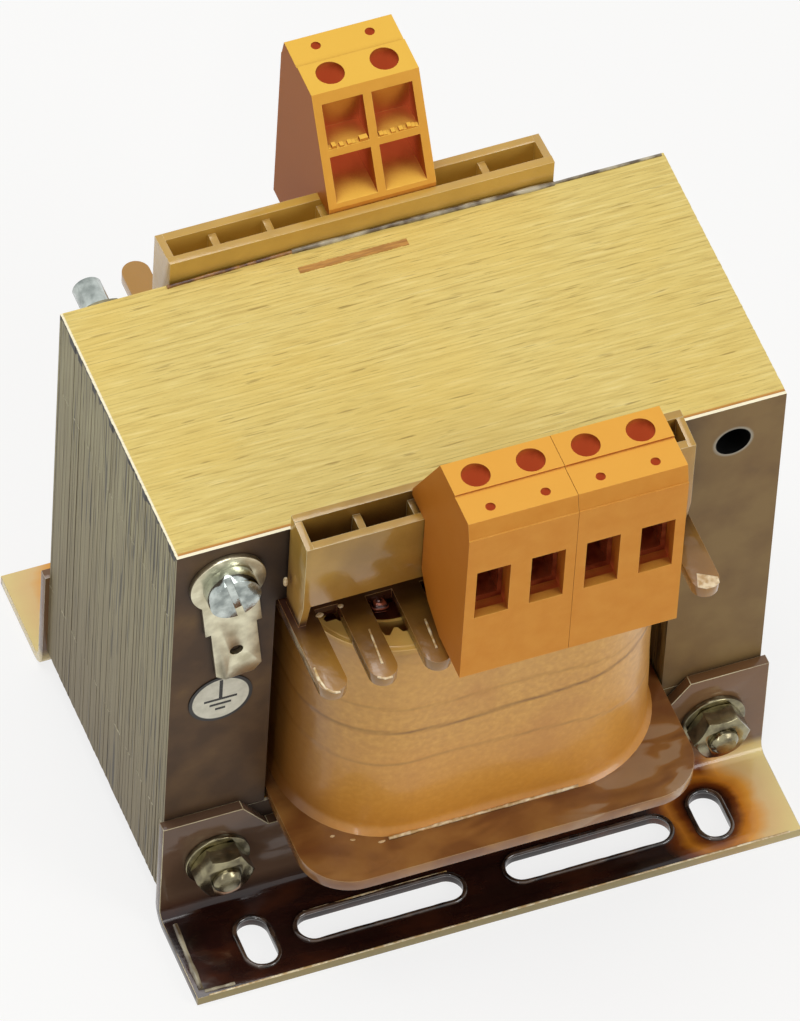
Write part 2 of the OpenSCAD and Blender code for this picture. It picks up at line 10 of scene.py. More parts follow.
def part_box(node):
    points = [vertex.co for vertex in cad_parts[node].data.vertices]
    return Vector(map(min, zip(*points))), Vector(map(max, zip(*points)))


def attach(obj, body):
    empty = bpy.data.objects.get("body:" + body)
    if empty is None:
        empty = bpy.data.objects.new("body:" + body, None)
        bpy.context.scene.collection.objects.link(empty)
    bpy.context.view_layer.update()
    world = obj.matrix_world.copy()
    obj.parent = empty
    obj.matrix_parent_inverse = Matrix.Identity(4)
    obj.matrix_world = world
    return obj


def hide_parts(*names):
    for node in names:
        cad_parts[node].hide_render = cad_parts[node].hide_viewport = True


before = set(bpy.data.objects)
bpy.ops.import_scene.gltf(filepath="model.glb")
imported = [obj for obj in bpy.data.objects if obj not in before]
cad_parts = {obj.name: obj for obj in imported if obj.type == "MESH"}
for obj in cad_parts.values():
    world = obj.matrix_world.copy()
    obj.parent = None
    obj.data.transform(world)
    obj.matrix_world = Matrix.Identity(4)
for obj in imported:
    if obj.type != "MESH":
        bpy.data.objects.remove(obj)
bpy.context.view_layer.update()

MM = 0.001

# ---------------------------------------------------------------- sizes, in millimetres


def corners(node):
    """Lowest and highest corner of a node, in millimetres."""
    return [Vector(corner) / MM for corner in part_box(node)]


CORE_LOW, CORE_HIGH = corners("e_sheets_upright")
CORE_LOW.z = corners("i_bars_lower")[0].z
COIL_LOW, COIL_HIGH = corners("outer_tape")
FORMER_LOW, FORMER_HIGH = corners("coil_former")
FOOT_LOW, FOOT_HIGH = corners("foot_bracket_front")
LABEL_LOW, LABEL_HIGH = corners("earth_label")
SCREW_LOW, SCREW_HIGH = corners("earth_screw")

LEG = 14.0                      # width of an outer leg and of a yoke
HOLE_INSET = 7.0                # corner holes, from both edges
HOLE_RADIUS = 2.4
PACKS = 21
SHEETS_PER_PACK = 4
PACK = (CORE_HIGH.y - CORE_LOW.y) / PACKS
SHEET = PACK / SHEETS_PER_PACK
FOOT_SHEET = 1.5                # thickness of a bracket
SLOT_X, SLOT_Y = 32.0, 31.25    # centre of a corner slot
FINGER_TOP = 60.0
FINGER_TIP = 37.8
RAIL_FOOT = 65.2                # lowest level of a rail's outer wall


# ---------------------------------------------------------------- materials

def linear(hex_colour):
    """An sRGB hex colour as the linear RGBA that the shaders take."""
    channels = [int(hex_colour[i:i + 2], 16) / 255 for i in (1, 3, 5)]
    return [c / 12.92 if c <= 0.04045 else ((c + 0.055) / 1.055) ** 2.4 for c in channels] + [1]


def add(tree, kind, inputs=(), stops=(), **settings):
    """Adds a node: its settings, its inputs as values or links, and a ramp's stops."""
    node = tree.nodes.new(kind)
    for name, value in settings.items():
        setattr(node, name, value)
    for key, value in dict(inputs).items():
        socket = node.inputs[key] if isinstance(key, int) else next(
            s for s in node.inputs if s.enabled and s.name == key)
        if isinstance(value, bpy.types.Node):
            value = next(s for s in value.outputs if s.enabled)
        if isinstance(value, bpy.types.NodeSocket):
            tree.links.new(value, socket)
        else:
            socket.default_value = linear(value) if isinstance(value, str) else value
    for i, (place, colour) in enumerate(stops):
        elements = node.color_ramp.elements
        element = elements[i] if i < 2 else elements.new(1.0)
        element.position = place
        element.color = linear(colour)
    return node


def start(name):
    """A material with an empty tree, and its Object coordinates in millimetres."""
    material = bpy.data.materials.new(name)
    material.use_nodes = True
    tree = material.node_tree
    tree.nodes.clear()
    place = add(tree, "ShaderNodeTexCoord").outputs["Object"]
    return material, tree, add(tree, "ShaderNodeVectorMath", {0: place, "Scale": 1 / MM},
                               operation="SCALE")


def finish(material, tree, inputs, height=None, depth=0.0):
    """The surface from its inputs, with bumps from a height, depth millimetres high."""
    if height is not None:
        inputs = {**inputs, "Normal": add(tree, "ShaderNodeBump",
                                          {"Height": height, "Distance": depth * MM})}
    surface = add(tree, "ShaderNodeBsdfPrincipled", inputs)
    add(tree, "ShaderNodeOutputMaterial", {"Surface": surface})
    return material


def silicon_steel():
    """Silicon steel sheet, punched, stacked and dipped in amber varnish.

    Its cut edges show as fine broken lines in straw gold above and grey at the sides, with dark
    grooves where sheets stand apart; its flat faces are satin bronze.
    """
    material, tree, place = start("silicon_steel_punched_and_dipped")
    axes = add(tree, "ShaderNodeSeparateXYZ", {"Vector": place}).outputs
    normal = add(tree, "ShaderNodeNewGeometry").outputs["True Normal"]
    facing = add(tree, "ShaderNodeSeparateXYZ", {"Vector": normal}).outputs
    # streaks 0.5 mm wide, 6 mm long across the top and 15 mm long down the sides
    spread = add(tree, "ShaderNodeMapping", {"Vector": place, "Scale": (1 / 6, 1 / 0.5, 1 / 15)})
    streaks = add(tree, "ShaderNodeTexNoise", {"Vector": spread, "Scale": 1.0, "Detail": 3.0})
    clouds = add(tree, "ShaderNodeTexNoise", {"Vector": place, "Scale": 1 / 16, "Detail": 3.0})
    top = add(tree, "ShaderNodeValToRGB", {"Fac": streaks},
              stops=((0.30, "#C8AE62"), (0.46, "#D5BD6D"), (0.60, "#DBC475"), (0.82, "#E6D38E")))
    golden = add(tree, "ShaderNodeMapRange", {"Value": clouds, "From Min": 0.42, "From Max": 0.70,
                                              "To Max": 0.45})
    top = add(tree, "ShaderNodeMix", {"Factor": golden, "A": top, "B": "#DCBC5E"},
              data_type="RGBA")
    # short dark scratches between sheets, 5 mm by 0.35 mm
    spread = add(tree, "ShaderNodeMapping", {"Vector": place, "Location": (3, 7, 0),
                                             "Scale": (1 / 5, 1 / 0.35, 1 / 5)})
    scratch = add(tree, "ShaderNodeTexNoise", {"Vector": spread, "Scale": 1.0, "Detail": 1.0})
    scratch = add(tree, "ShaderNodeMapRange", {"Value": scratch, "From Min": 0.66,
                                               "From Max": 0.74, "To Max": 0.6})
    top = add(tree, "ShaderNodeMix", {"Factor": scratch, "A": top, "B": "#8C7236"},
              data_type="RGBA")
    # the front sheet's top edge and the left end's top edge carry a painted highlight, with a line of
    # pooled varnish behind the front one
    pooled = add(tree, "ShaderNodeMapRange", {"Value": axes["Y"], "From Min": CORE_LOW.y + 0.95,
                                              "From Max": CORE_LOW.y + 0.75, "To Max": 0.85})
    top = add(tree, "ShaderNodeMix", {"Factor": pooled, "A": top, "B": "#B4742A"},
              data_type="RGBA")
    bright = add(tree, "ShaderNodeMapRange", {"Value": axes["Y"], "From Min": CORE_LOW.y + 0.50,
                                              "From Max": CORE_LOW.y + 0.42})
    left_edge_painted_highlight = add(tree, "ShaderNodeMapRange", {"Value": axes["X"], "From Min": CORE_LOW.x + 0.40,
                                            "From Max": CORE_LOW.x + 0.25})
    bright = add(tree, "ShaderNodeMath", {0: bright, 1: left_edge_painted_highlight}, operation="MAXIMUM")
    top = add(tree, "ShaderNodeMix", {"Factor": bright, "A": top, "B": "#F4EBCB"},
              data_type="RGBA")
    side = add(tree, "ShaderNodeValToRGB", {"Fac": streaks},
               stops=((0.30, "#807653"), (0.46, "#948A64"), (0.60, "#9E956D"), (0.78, "#B4AD86")))
    low = add(tree, "ShaderNodeMapRange", {"Value": axes["Z"], "From Min": 62.0, "From Max": 6.0,
                                           "To Max": 0.75})
    side = add(tree, "ShaderNodeMix", {"Factor": low, "A": side, "B": "#716042"},
               data_type="RGBA")
    # grooves 0.4 mm wide and 18 mm long, most of them near the front and the top
    spread = add(tree, "ShaderNodeMapping", {"Vector": place, "Location": (0, 11, 2),
                                             "Scale": (1, 1 / 0.62, 1 / 18)})
    groove = add(tree, "ShaderNodeTexNoise", {"Vector": spread, "Scale": 1.0, "Detail": 1.0})
    ahead = add(tree, "ShaderNodeMapRange", {"Value": axes["Y"], "From Min": 16.0,
                                             "From Max": -10.0, "To Max": 0.07})
    groove = add(tree, "ShaderNodeMath", {0: groove, 1: ahead}, operation="ADD")
    above = add(tree, "ShaderNodeMapRange", {"Value": axes["Z"], "From Min": 40.0,
                                             "From Max": 66.0, "To Max": 0.06})
    groove = add(tree, "ShaderNodeMath", {0: groove, 1: above}, operation="ADD")
    groove = add(tree, "ShaderNodeMapRange", {"Value": groove, "From Min": 0.68,
                                              "From Max": 0.73, "To Max": 0.75})
    side = add(tree, "ShaderNodeMix", {"Factor": groove, "A": side, "B": "#2A2620"},
               data_type="RGBA")
    # dark teeth under the top edge, 2 mm apart, where the packs' corners don't meet
    teeth = add(tree, "ShaderNodeMapping", {"Vector": place, "Scale": (0.01, 1 / 1.4, 0.01)})
    teeth = add(tree, "ShaderNodeTexNoise", {"Vector": teeth, "Scale": 1.0, "Detail": 0.0})
    depth = add(tree, "ShaderNodeMapRange", {"Value": teeth, "From Min": 0.46, "From Max": 0.62,
                                             "To Min": CORE_HIGH.z - 0.35,
                                             "To Max": CORE_HIGH.z - 1.5})
    teeth = add(tree, "ShaderNodeMath", {0: axes["Z"], 1: depth}, operation="GREATER_THAN")
    side = add(tree, "ShaderNodeMix", {"Factor": teeth, "A": side, "B": "#2E2A20"},
               data_type="RGBA")
    # the flat faces: satin bronze, with painted light across the front: darker at the left and
    # lighter towards the right, where more light falls
    face = add(tree, "ShaderNodeTexNoise", {"Vector": place, "Scale": 1 / 7, "Detail": 4.0})
    across = add(tree, "ShaderNodeMapRange", {"Value": axes["X"], "From Min": -30.0,
                                              "From Max": 30.0, "To Min": -0.25, "To Max": 0.25})
    face = add(tree, "ShaderNodeMath", {0: face, 1: across}, operation="ADD")
    face = add(tree, "ShaderNodeValToRGB", {"Fac": face},
               stops=((0.15, "#48331F"), (0.36, "#5A4228"), (0.64, "#775C34"), (0.85, "#81673C")))
    shaded = add(tree, "ShaderNodeAmbientOcclusion", {"Distance": 7 * MM}, samples=8)
    shaded = add(tree, "ShaderNodeMapRange", {"Value": shaded.outputs["AO"], "From Min": 0.9,
                                              "From Max": 0.35})
    face = add(tree, "ShaderNodeMix", {"Factor": shaded, "A": face, "B": "#2C211A"},
               data_type="RGBA")
    up = add(tree, "ShaderNodeMath", {0: facing["Z"], 1: 0.7}, operation="GREATER_THAN")
    flat = add(tree, "ShaderNodeMath", {0: facing["Y"]}, operation="ABSOLUTE")
    flat = add(tree, "ShaderNodeMath", {0: flat, 1: 0.7}, operation="GREATER_THAN")
    colour = add(tree, "ShaderNodeMix", {"Factor": up, "A": side, "B": top}, data_type="RGBA")
    colour = add(tree, "ShaderNodeMix", {"Factor": flat, "A": colour, "B": face},
                 data_type="RGBA")
    # corner holes: near black with painted shade inside, with a pale rim
    beside = add(tree, "ShaderNodeMath", {0: axes["X"]}, operation="ABSOLUTE")
    spot = add(tree, "ShaderNodeCombineXYZ", {"X": beside, "Z": axes["Z"]})
    away = add(tree, "ShaderNodeVectorMath",
               {0: spot, 1: (CORE_HIGH.x - HOLE_INSET, 0, CORE_HIGH.z - HOLE_INSET)},
               operation="DISTANCE")
    rim = add(tree, "ShaderNodeMapRange", {"Value": away, "From Min": HOLE_RADIUS + 0.55,
                                           "From Max": HOLE_RADIUS + 0.2, "To Max": 0.8})
    colour = add(tree, "ShaderNodeMix", {"Factor": rim, "A": colour, "B": "#A39F90"},
                 data_type="RGBA")
    hole_painted_shade = add(tree, "ShaderNodeMath", {0: away, 1: HOLE_RADIUS + 0.06}, operation="LESS_THAN")
    colour = add(tree, "ShaderNodeMix", {"Factor": hole_painted_shade, "A": colour, "B": "#0D0D0C"},
                 data_type="RGBA")
    return finish(material, tree, {"Base Color": colour, "Metallic": 0.15, "Roughness": 0.46,
                                   "Specular IOR Level": 0.3}, streaks, 0.06)


def glass_filled_nylon(name, edge=False):
    """Glass-filled nylon, moulded, then dipped in amber varnish.

    Straw gold where the varnish is thin, red-brown and glossy where it has pooled, darker with
    painted shade in pockets and corners; the edge copy is cream, a painted highlight along the edges.
    """
    material, tree, place = start(name)
    axes = add(tree, "ShaderNodeSeparateXYZ", {"Vector": place}).outputs
    cloud = add(tree, "ShaderNodeTexNoise", {"Vector": place, "Scale": 1 / 6, "Detail": 4.0})
    # the edge copy is paler: a painted cream highlight along the edges
    rails = ("#A88238", "#BC9442") if not edge else ("#D8C486", "#F0E4B4")
    fingers = ("#6A4820", "#8A6428") if not edge else ("#A87038", "#D8B074")
    flange = ("#8A5A2C", "#A07038") if not edge else ("#A87C44", "#C8A468")
    colours = [add(tree, "ShaderNodeValToRGB", {"Fac": cloud}, stops=((0.34, a), (0.66, b)))
               for a, b in (rails, fingers, flange)]
    # fingers: dark at the root, ochre at the tip; those behind are ochre all along
    deep = add(tree, "ShaderNodeMath", {0: axes["Y"]}, operation="ABSOLUTE")
    root = add(tree, "ShaderNodeMapRange", {"Value": deep, "From Min": 29.0, "From Max": 25.0,
                                            "To Max": 0.0 if edge else 0.85})
    tip = add(tree, "ShaderNodeMapRange", {"Value": deep, "From Min": 31.0,
                                           "From Max": FINGER_TIP, "To Max": 0.7})
    hind = add(tree, "ShaderNodeMath", {0: axes["Y"], 1: 20.0}, operation="GREATER_THAN")
    tip = add(tree, "ShaderNodeMath", {0: tip, 1: hind}, operation="MAXIMUM")
    colours[1] = add(tree, "ShaderNodeMix", {"Factor": root, "A": colours[1], "B": "#3A1E14"},
                     data_type="RGBA")
    colours[1] = add(tree, "ShaderNodeMix", {"Factor": tip, "A": colours[1], "B": "#AA7C36"},
                     data_type="RGBA")
    # flange: darker patches of thick varnish, and at the right a pale painted reflection on the
    # glossy varnish
    patch = add(tree, "ShaderNodeMapping", {"Vector": place, "Location": (0.4, 2.1, 0),
                                            "Scale": (1 / 11, 1 / 4.5, 1 / 6)})
    patch = add(tree, "ShaderNodeTexNoise", {"Vector": patch, "Scale": 1.0, "Detail": 2.0,
                                             "Distortion": 0.6})
    thick = add(tree, "ShaderNodeMapRange", {"Value": patch, "From Min": 0.58, "From Max": 0.40,
                                             "To Max": 0.0 if edge else 0.75})
    colours[2] = add(tree, "ShaderNodeMix", {"Factor": thick, "A": colours[2], "B": "#70401E"},
                     data_type="RGBA")
    flange_painted_reflection = add(tree, "ShaderNodeMapRange", {"Value": patch, "From Min": 0.56,
                                                 "From Max": 0.60, "To Max": 0.5})
    right = add(tree, "ShaderNodeMapRange", {"Value": axes["X"], "From Min": 6.0,
                                             "From Max": 12.0})
    flange_painted_reflection = add(tree, "ShaderNodeMath", {0: flange_painted_reflection, 1: right}, operation="MULTIPLY")
    colours[2] = add(tree, "ShaderNodeMix", {"Factor": flange_painted_reflection, "A": colours[2],
                                             "B": "#B49C80"}, data_type="RGBA")
    lower = add(tree, "ShaderNodeMapRange", {"Value": axes["Z"], "From Min": 72.0,
                                             "From Max": 66.0, "To Max": 0.0 if edge else 0.5})
    upper = add(tree, "ShaderNodeMix", {"Factor": lower, "A": colours[0], "B": "#B27E3A"},
                data_type="RGBA")
    behind = add(tree, "ShaderNodeMapRange", {"Value": axes["Y"], "From Min": -20.0,
                                              "From Max": 20.0, "To Max": 0.45})
    upper = add(tree, "ShaderNodeMix", {"Factor": behind, "A": upper, "B": "#C09A4C"},
                data_type="RGBA")
    rail = add(tree, "ShaderNodeMapRange", {"Value": axes["Z"], "From Min": FINGER_TOP + 0.4,
                                            "From Max": FINGER_TOP + 2.5},
               interpolation_type="SMOOTHSTEP")
    colour = add(tree, "ShaderNodeMix", {"Factor": rail, "A": colours[1], "B": upper},
                 data_type="RGBA")
    foot = add(tree, "ShaderNodeMapRange", {"Value": axes["Z"], "From Min": 40.0,
                                            "From Max": 30.0})
    colour = add(tree, "ShaderNodeMix", {"Factor": foot, "A": colour, "B": colours[2]},
                 data_type="RGBA")
    # painted shade in pockets and corners, where varnish also pools: 5 mm is how far a wall or a
    # floor darkens it
    pooled = add(tree, "ShaderNodeAmbientOcclusion", {"Distance": 5 * MM}, samples=8)
    pooled = add(tree, "ShaderNodeMapRange", {"Value": pooled.outputs["AO"], "From Min": 0.70,
                                              "From Max": 0.15, "To Max": 0.3 if edge else 0.9})
    # light comes through the rail behind, so its pockets stay golden
    through = add(tree, "ShaderNodeMapRange", {"Value": axes["Y"], "From Min": -10.0,
                                               "From Max": 10.0, "To Min": 1.0, "To Max": 0.15})
    pooled = add(tree, "ShaderNodeMath", {0: pooled, 1: through}, operation="MULTIPLY")
    colour = add(tree, "ShaderNodeMix", {"Factor": pooled, "A": colour, "B": "#4A2418"},
                 data_type="RGBA")
    # painted glow: the rear rail and the fingers behind give off a faint amber light
    lit = add(tree, "ShaderNodeMath", {0: hind, 1: 0.10}, operation="MULTIPLY")
    return finish(material, tree, {"Base Color": colour, "Roughness": 0.24, "IOR": 1.53,
                                   "Specular IOR Level": 0.35, "Emission Color": "#C8962E",
                                   "Emission Strength": lit,
                                   "Coat Weight": 0.45, "Coat Roughness": 0.05},
                  cloud, 0.3)


def polyester_tape():
    """Polyester film tape, wound by hand and soaked in amber varnish.

    Ochre and satin with a fine mottle; painted shade round the sides, painted light along the
    top, and a dark line at each lap.
    """
    material, tree, place = start("polyester_tape_wound_and_soaked")
    axes = add(tree, "ShaderNodeSeparateXYZ", {"Vector": place}).outputs
    mottle = add(tree, "ShaderNodeTexNoise", {"Vector": place, "Scale": 1 / 0.8, "Detail": 3.0})
    broad = add(tree, "ShaderNodeTexNoise", {"Vector": place, "Scale": 1 / 11, "Detail": 3.0})
    colour = add(tree, "ShaderNodeValToRGB", {"Fac": mottle},
                 stops=((0.30, "#C68E3A"), (0.55, "#D09840"), (0.78, "#DAA44C")))
    upper = add(tree, "ShaderNodeMapRange", {"Value": axes["Z"], "From Min": 42.0,
                                             "From Max": 58.0, "To Max": 0.55})
    colour = add(tree, "ShaderNodeMix", {"Factor": upper, "A": colour, "B": "#C49444"},
                 data_type="RGBA")
    lower = add(tree, "ShaderNodeMapRange", {"Value": axes["Z"], "From Min": 40.0,
                                             "From Max": 22.0, "To Max": 0.55})
    colour = add(tree, "ShaderNodeMix", {"Factor": lower, "A": colour, "B": "#DC9030"},
                 data_type="RGBA")
    stain = add(tree, "ShaderNodeMapRange", {"Value": broad, "From Min": 0.50, "From Max": 0.75,
                                             "To Max": 0.5})
    colour = add(tree, "ShaderNodeMix", {"Factor": stain, "A": colour, "B": "#B4742C"},
                 data_type="RGBA")
    # painted shade round the coil's sides, deeper at the left
    painted_side_shade = add(tree, "ShaderNodeMapRange", {"Value": axes["X"], "From Min": -20.5,
                                              "From Max": -26.5, "To Max": 0.85},
                 interpolation_type="SMOOTHSTEP")
    colour = add(tree, "ShaderNodeMix", {"Factor": painted_side_shade, "A": colour, "B": "#74421E"},
                 data_type="RGBA")
    painted_side_shade = add(tree, "ShaderNodeMapRange", {"Value": axes["X"], "From Min": 22.0,
                                              "From Max": 28.0, "To Max": 0.6},
                 interpolation_type="SMOOTHSTEP")
    colour = add(tree, "ShaderNodeMix", {"Factor": painted_side_shade, "A": colour, "B": "#8A5426"},
                 data_type="RGBA")
    # painted light along the top of the tape, brightening it where the rails and housings shade it
    turned = add(tree, "ShaderNodeMapRange", {"Value": axes["Z"], "From Min": COIL_HIGH.z - 1.2,
                                              "From Max": COIL_HIGH.z - 0.3, "To Max": 0.85})
    colour = add(tree, "ShaderNodeMix", {"Factor": turned, "A": colour, "B": "#F0C468"},
                 data_type="RGBA")
    lap = add(tree, "ShaderNodeAttribute", attribute_name="lap").outputs["Fac"]
    colour = add(tree, "ShaderNodeMix", {"Factor": lap, "A": colour, "B": "#6E451C"},
                 data_type="RGBA")
    return finish(material, tree, {"Base Color": colour, "Roughness": 0.34, "IOR": 1.57,
                                   "Specular IOR Level": 0.35,
                                   "Coat Weight": 0.25, "Coat Roughness": 0.10},
                  mottle, 0.03)


def orange_polyamide(name, edge=False):
    """Polyamide, moulded in orange: matt outside; painted shade and a painted glow, deep red, in its
    holes and chambers.
    """
    material, tree, place = start(name)
    axes = add(tree, "ShaderNodeSeparateXYZ", {"Vector": place}).outputs
    cloud = add(tree, "ShaderNodeTexNoise", {"Vector": place, "Scale": 1 / 3, "Detail": 5.0})
    # the edge copy is paler: a painted highlight along the edges
    pair = ("#D28932", "#D8923A") if not edge else ("#E0A24C", "#E8B05C")
    colour = add(tree, "ShaderNodeValToRGB", {"Fac": cloud}, stops=((0.32, pair[0]), (0.68, pair[1])))
    normal = add(tree, "ShaderNodeNewGeometry").outputs["True Normal"]
    facing = add(tree, "ShaderNodeSeparateXYZ", {"Vector": normal}).outputs
    # painted shade on the faces turned to the left, deeper on the rear housing
    side = add(tree, "ShaderNodeMapRange", {"Value": facing["X"], "From Min": -0.5,
                                            "From Max": -0.9, "To Max": 0.75})
    colour = add(tree, "ShaderNodeMix", {"Factor": side, "A": colour, "B": "#B46618"},
                 data_type="RGBA")
    rear = add(tree, "ShaderNodeMath", {0: axes["Y"], 1: 0.0}, operation="GREATER_THAN")
    rear = add(tree, "ShaderNodeMath", {0: rear, 1: side}, operation="MULTIPLY")
    colour = add(tree, "ShaderNodeMix", {"Factor": rear, "A": colour, "B": "#A65A0C"},
                 data_type="RGBA")
    # painted light on the upward faces, yellower towards the rear
    above = add(tree, "ShaderNodeMapRange", {"Value": facing["Z"], "From Min": 0.3,
                                             "From Max": 0.8, "To Max": 0.8})
    behind = add(tree, "ShaderNodeMapRange", {"Value": axes["Y"], "From Min": -20.0,
                                              "From Max": 30.0})
    painted_top_light = add(tree, "ShaderNodeMix", {"Factor": behind, "A": "#EBAC46", "B": "#F2C450"},
                data_type="RGBA")
    colour = add(tree, "ShaderNodeMix", {"Factor": above, "A": colour, "B": painted_top_light},
                 data_type="RGBA")
    # painted shade, deep red, in holes and chambers, and a painted glow in the inmost of them
    deep = add(tree, "ShaderNodeAmbientOcclusion", {"Distance": 6 * MM}, samples=8,
               only_local=True)
    painted_glow_in_holes = add(tree, "ShaderNodeMapRange", {"Value": deep.outputs["AO"], "From Min": 0.40,
                                              "From Max": 0.24, "To Max": 0.34})
    deep = add(tree, "ShaderNodeMapRange", {"Value": deep.outputs["AO"], "From Min": 0.85,
                                            "From Max": 0.30})
    colour = add(tree, "ShaderNodeMix", {"Factor": deep, "A": colour, "B": "#983C1C"},
                 data_type="RGBA")
    # light that comes through the walls into the holes
    grain = add(tree, "ShaderNodeTexNoise", {"Vector": place, "Scale": 1 / 0.35, "Detail": 2.0})
    return finish(material, tree, {"Base Color": colour, "Roughness": 0.50, "IOR": 1.53,
                                   "Specular IOR Level": 0.12, "Emission Color": "#E0683A",
                                   "Emission Strength": painted_glow_in_holes}, grain, 0.012)


def stoved_varnish(name, edge=False):
    """Mild steel, folded, dipped in brown varnish and stoved.

    Nearly black and glossy where the varnish is thick, amber round the outer slots where it has
    run thin and a painted reflection brightens it, bare straw at the far ends, and a painted
    pale highlight along its edges.
    """
    material, tree, place = start(name)
    axes = add(tree, "ShaderNodeSeparateXYZ", {"Vector": place}).outputs
    runs = add(tree, "ShaderNodeMapping", {"Vector": place, "Scale": (1 / 14, 1 / 6, 1 / 6)})
    runs = add(tree, "ShaderNodeTexNoise", {"Vector": runs, "Scale": 1.0, "Detail": 4.0})
    if edge:
        # the edge copy: a painted pale highlight along the edges
        colour = add(tree, "ShaderNodeValToRGB", {"Fac": runs},
                     stops=((0.32, "#5A4A34"), (0.42, "#A89470"), (0.60, "#E0D4AC"),
                            (0.76, "#8A7044")))
    else:
        colour = add(tree, "ShaderNodeValToRGB", {"Fac": runs},
                     stops=((0.30, "#170C0A"), (0.48, "#2A1410"), (0.62, "#452214"),
                            (0.80, "#7A4018")))
        # the amber and straw stretches, where the varnish runs thin and a painted reflection
        # brightens it, lie at the front's right and the rear's left
        turn = add(tree, "ShaderNodeMath", {0: axes["Y"]}, operation="SIGN")
        outward = add(tree, "ShaderNodeMath", {0: axes["X"], 1: turn}, operation="MULTIPLY")
        outward = add(tree, "ShaderNodeMath", {0: outward, 1: -1.0}, operation="MULTIPLY")
        deep = add(tree, "ShaderNodeMath", {0: axes["Y"]}, operation="ABSOLUTE")
        spot = add(tree, "ShaderNodeCombineXYZ", {"X": outward, "Y": deep})
        away = add(tree, "ShaderNodeVectorMath", {0: spot, 1: (SLOT_X, SLOT_Y, 0)},
                   operation="SUBTRACT")
        away = add(tree, "ShaderNodeVectorMath", {0: away, 1: (1.0, 0.75, 0)},
                   operation="MULTIPLY")
        away = add(tree, "ShaderNodeVectorMath", {0: away}, operation="LENGTH")
        waver = add(tree, "ShaderNodeMapRange", {"Value": runs, "To Min": -2.2, "To Max": 2.2})
        away = add(tree, "ShaderNodeMath", {0: away, 1: waver}, operation="ADD")
        away = add(tree, "ShaderNodeMath", {0: away, 1: 1 / 14}, operation="MULTIPLY")
        glow = add(tree, "ShaderNodeValToRGB", {"Fac": away},
                   stops=((0.22, "#3A1C10"), (0.28, "#7A3C12"), (0.34, "#D88422"),
                          (0.44, "#F0A640"), (0.56, "#EEC888"), (0.80, "#F0D890")))
        ring = add(tree, "ShaderNodeValToRGB", {"Fac": away},
                   stops=((0.22, "#2A1410"), (0.29, "#7A3C14"), (0.37, "#C87C24"),
                          (0.45, "#7A3C14"), (0.58, "#23120F")))
        outside = add(tree, "ShaderNodeMapRange", {"Value": outward, "From Min": SLOT_X + 1.5,
                                                   "From Max": SLOT_X + 3.5})
        glow = add(tree, "ShaderNodeMix", {"Factor": outside, "A": ring, "B": glow},
                   data_type="RGBA")
        reach = add(tree, "ShaderNodeMapRange", {"Value": outward, "From Min": 22.0,
                                                 "From Max": 25.5},
                    interpolation_type="SMOOTHSTEP")
        level = add(tree, "ShaderNodeMapRange", {"Value": axes["Z"], "From Min": 4.6,
                                                 "From Max": 3.0})
        reach = add(tree, "ShaderNodeMath", {0: reach, 1: level}, operation="MULTIPLY")
        colour = add(tree, "ShaderNodeMix", {"Factor": reach, "A": colour, "B": glow},
                     data_type="RGBA")
        # a painted pale highlight on the foot's outer edge faces
        normal = add(tree, "ShaderNodeNewGeometry").outputs["True Normal"]
        cut = add(tree, "ShaderNodeSeparateXYZ", {"Vector": normal}).outputs["Z"]
        cut = add(tree, "ShaderNodeMath", {0: cut}, operation="ABSOLUTE")
        cut = add(tree, "ShaderNodeMath", {0: cut, 1: 0.4}, operation="LESS_THAN")
        brim = add(tree, "ShaderNodeMath", {0: deep, 1: -FOOT_LOW.y - 0.6},
                   operation="GREATER_THAN")
        cut = add(tree, "ShaderNodeMath", {0: cut, 1: brim}, operation="MULTIPLY")
        cut = add(tree, "ShaderNodeMath", {0: cut, 1: 0.8}, operation="MULTIPLY")
        colour = add(tree, "ShaderNodeMix", {"Factor": cut, "A": colour, "B": "#A8965C"},
                     data_type="RGBA")
        ear = add(tree, "ShaderNodeMapRange", {"Value": axes["Z"], "From Min": 1.7,
                                               "From Max": 5.0, "To Max": 0.9})
        far = add(tree, "ShaderNodeMapRange", {"Value": outward, "From Min": -10.0,
                                               "From Max": 34.0})
        ears = add(tree, "ShaderNodeMix", {"Factor": far, "A": "#644C3A", "B": "#7C5A3A"},
                   data_type="RGBA")
        colour = add(tree, "ShaderNodeMix", {"Factor": ear, "A": colour, "B": ears},
                     data_type="RGBA")
    return finish(material, tree, {"Base Color": colour, "Roughness": 0.16, "IOR": 1.52,
                                   "Specular IOR Level": 0.3, "Coat Weight": 0.25,
                                   "Coat Roughness": 0.03}, runs, 0.25)


def plated(name, light, dark, roughness, size=2.2, level=0.0, stain="#8E531F"):
    """Plated steel, with soft stains of this size; below the level, a painted reflection of amber
    varnish in the stain colour.
    """
    material, tree, place = start(name)
    cloud = add(tree, "ShaderNodeTexNoise", {"Vector": place, "Scale": 1 / size, "Detail": 4.0})
    colour = add(tree, "ShaderNodeValToRGB", {"Fac": cloud}, stops=((0.34, dark), (0.64, light)))
    axes = add(tree, "ShaderNodeSeparateXYZ", {"Vector": place}).outputs
    # below the level, a painted reflection of the amber varnish around it, in the stain colour
    run = add(tree, "ShaderNodeMapRange", {"Value": axes["Z"], "From Min": level + 1.2,
                                           "From Max": level - 1.2, "To Max": 0.8})
    colour = add(tree, "ShaderNodeMix", {"Factor": run, "A": colour, "B": stain},
                 data_type="RGBA")
    handling = add(tree, "ShaderNodeTexNoise", {"Vector": place, "Scale": 1 / 0.5, "Detail": 2.0})
    return finish(material, tree, {"Base Color": colour, "Metallic": 1.0, "Roughness": roughness,
                                   "Coat Weight": 0.3, "Coat Roughness": 0.1}, handling, 0.015)


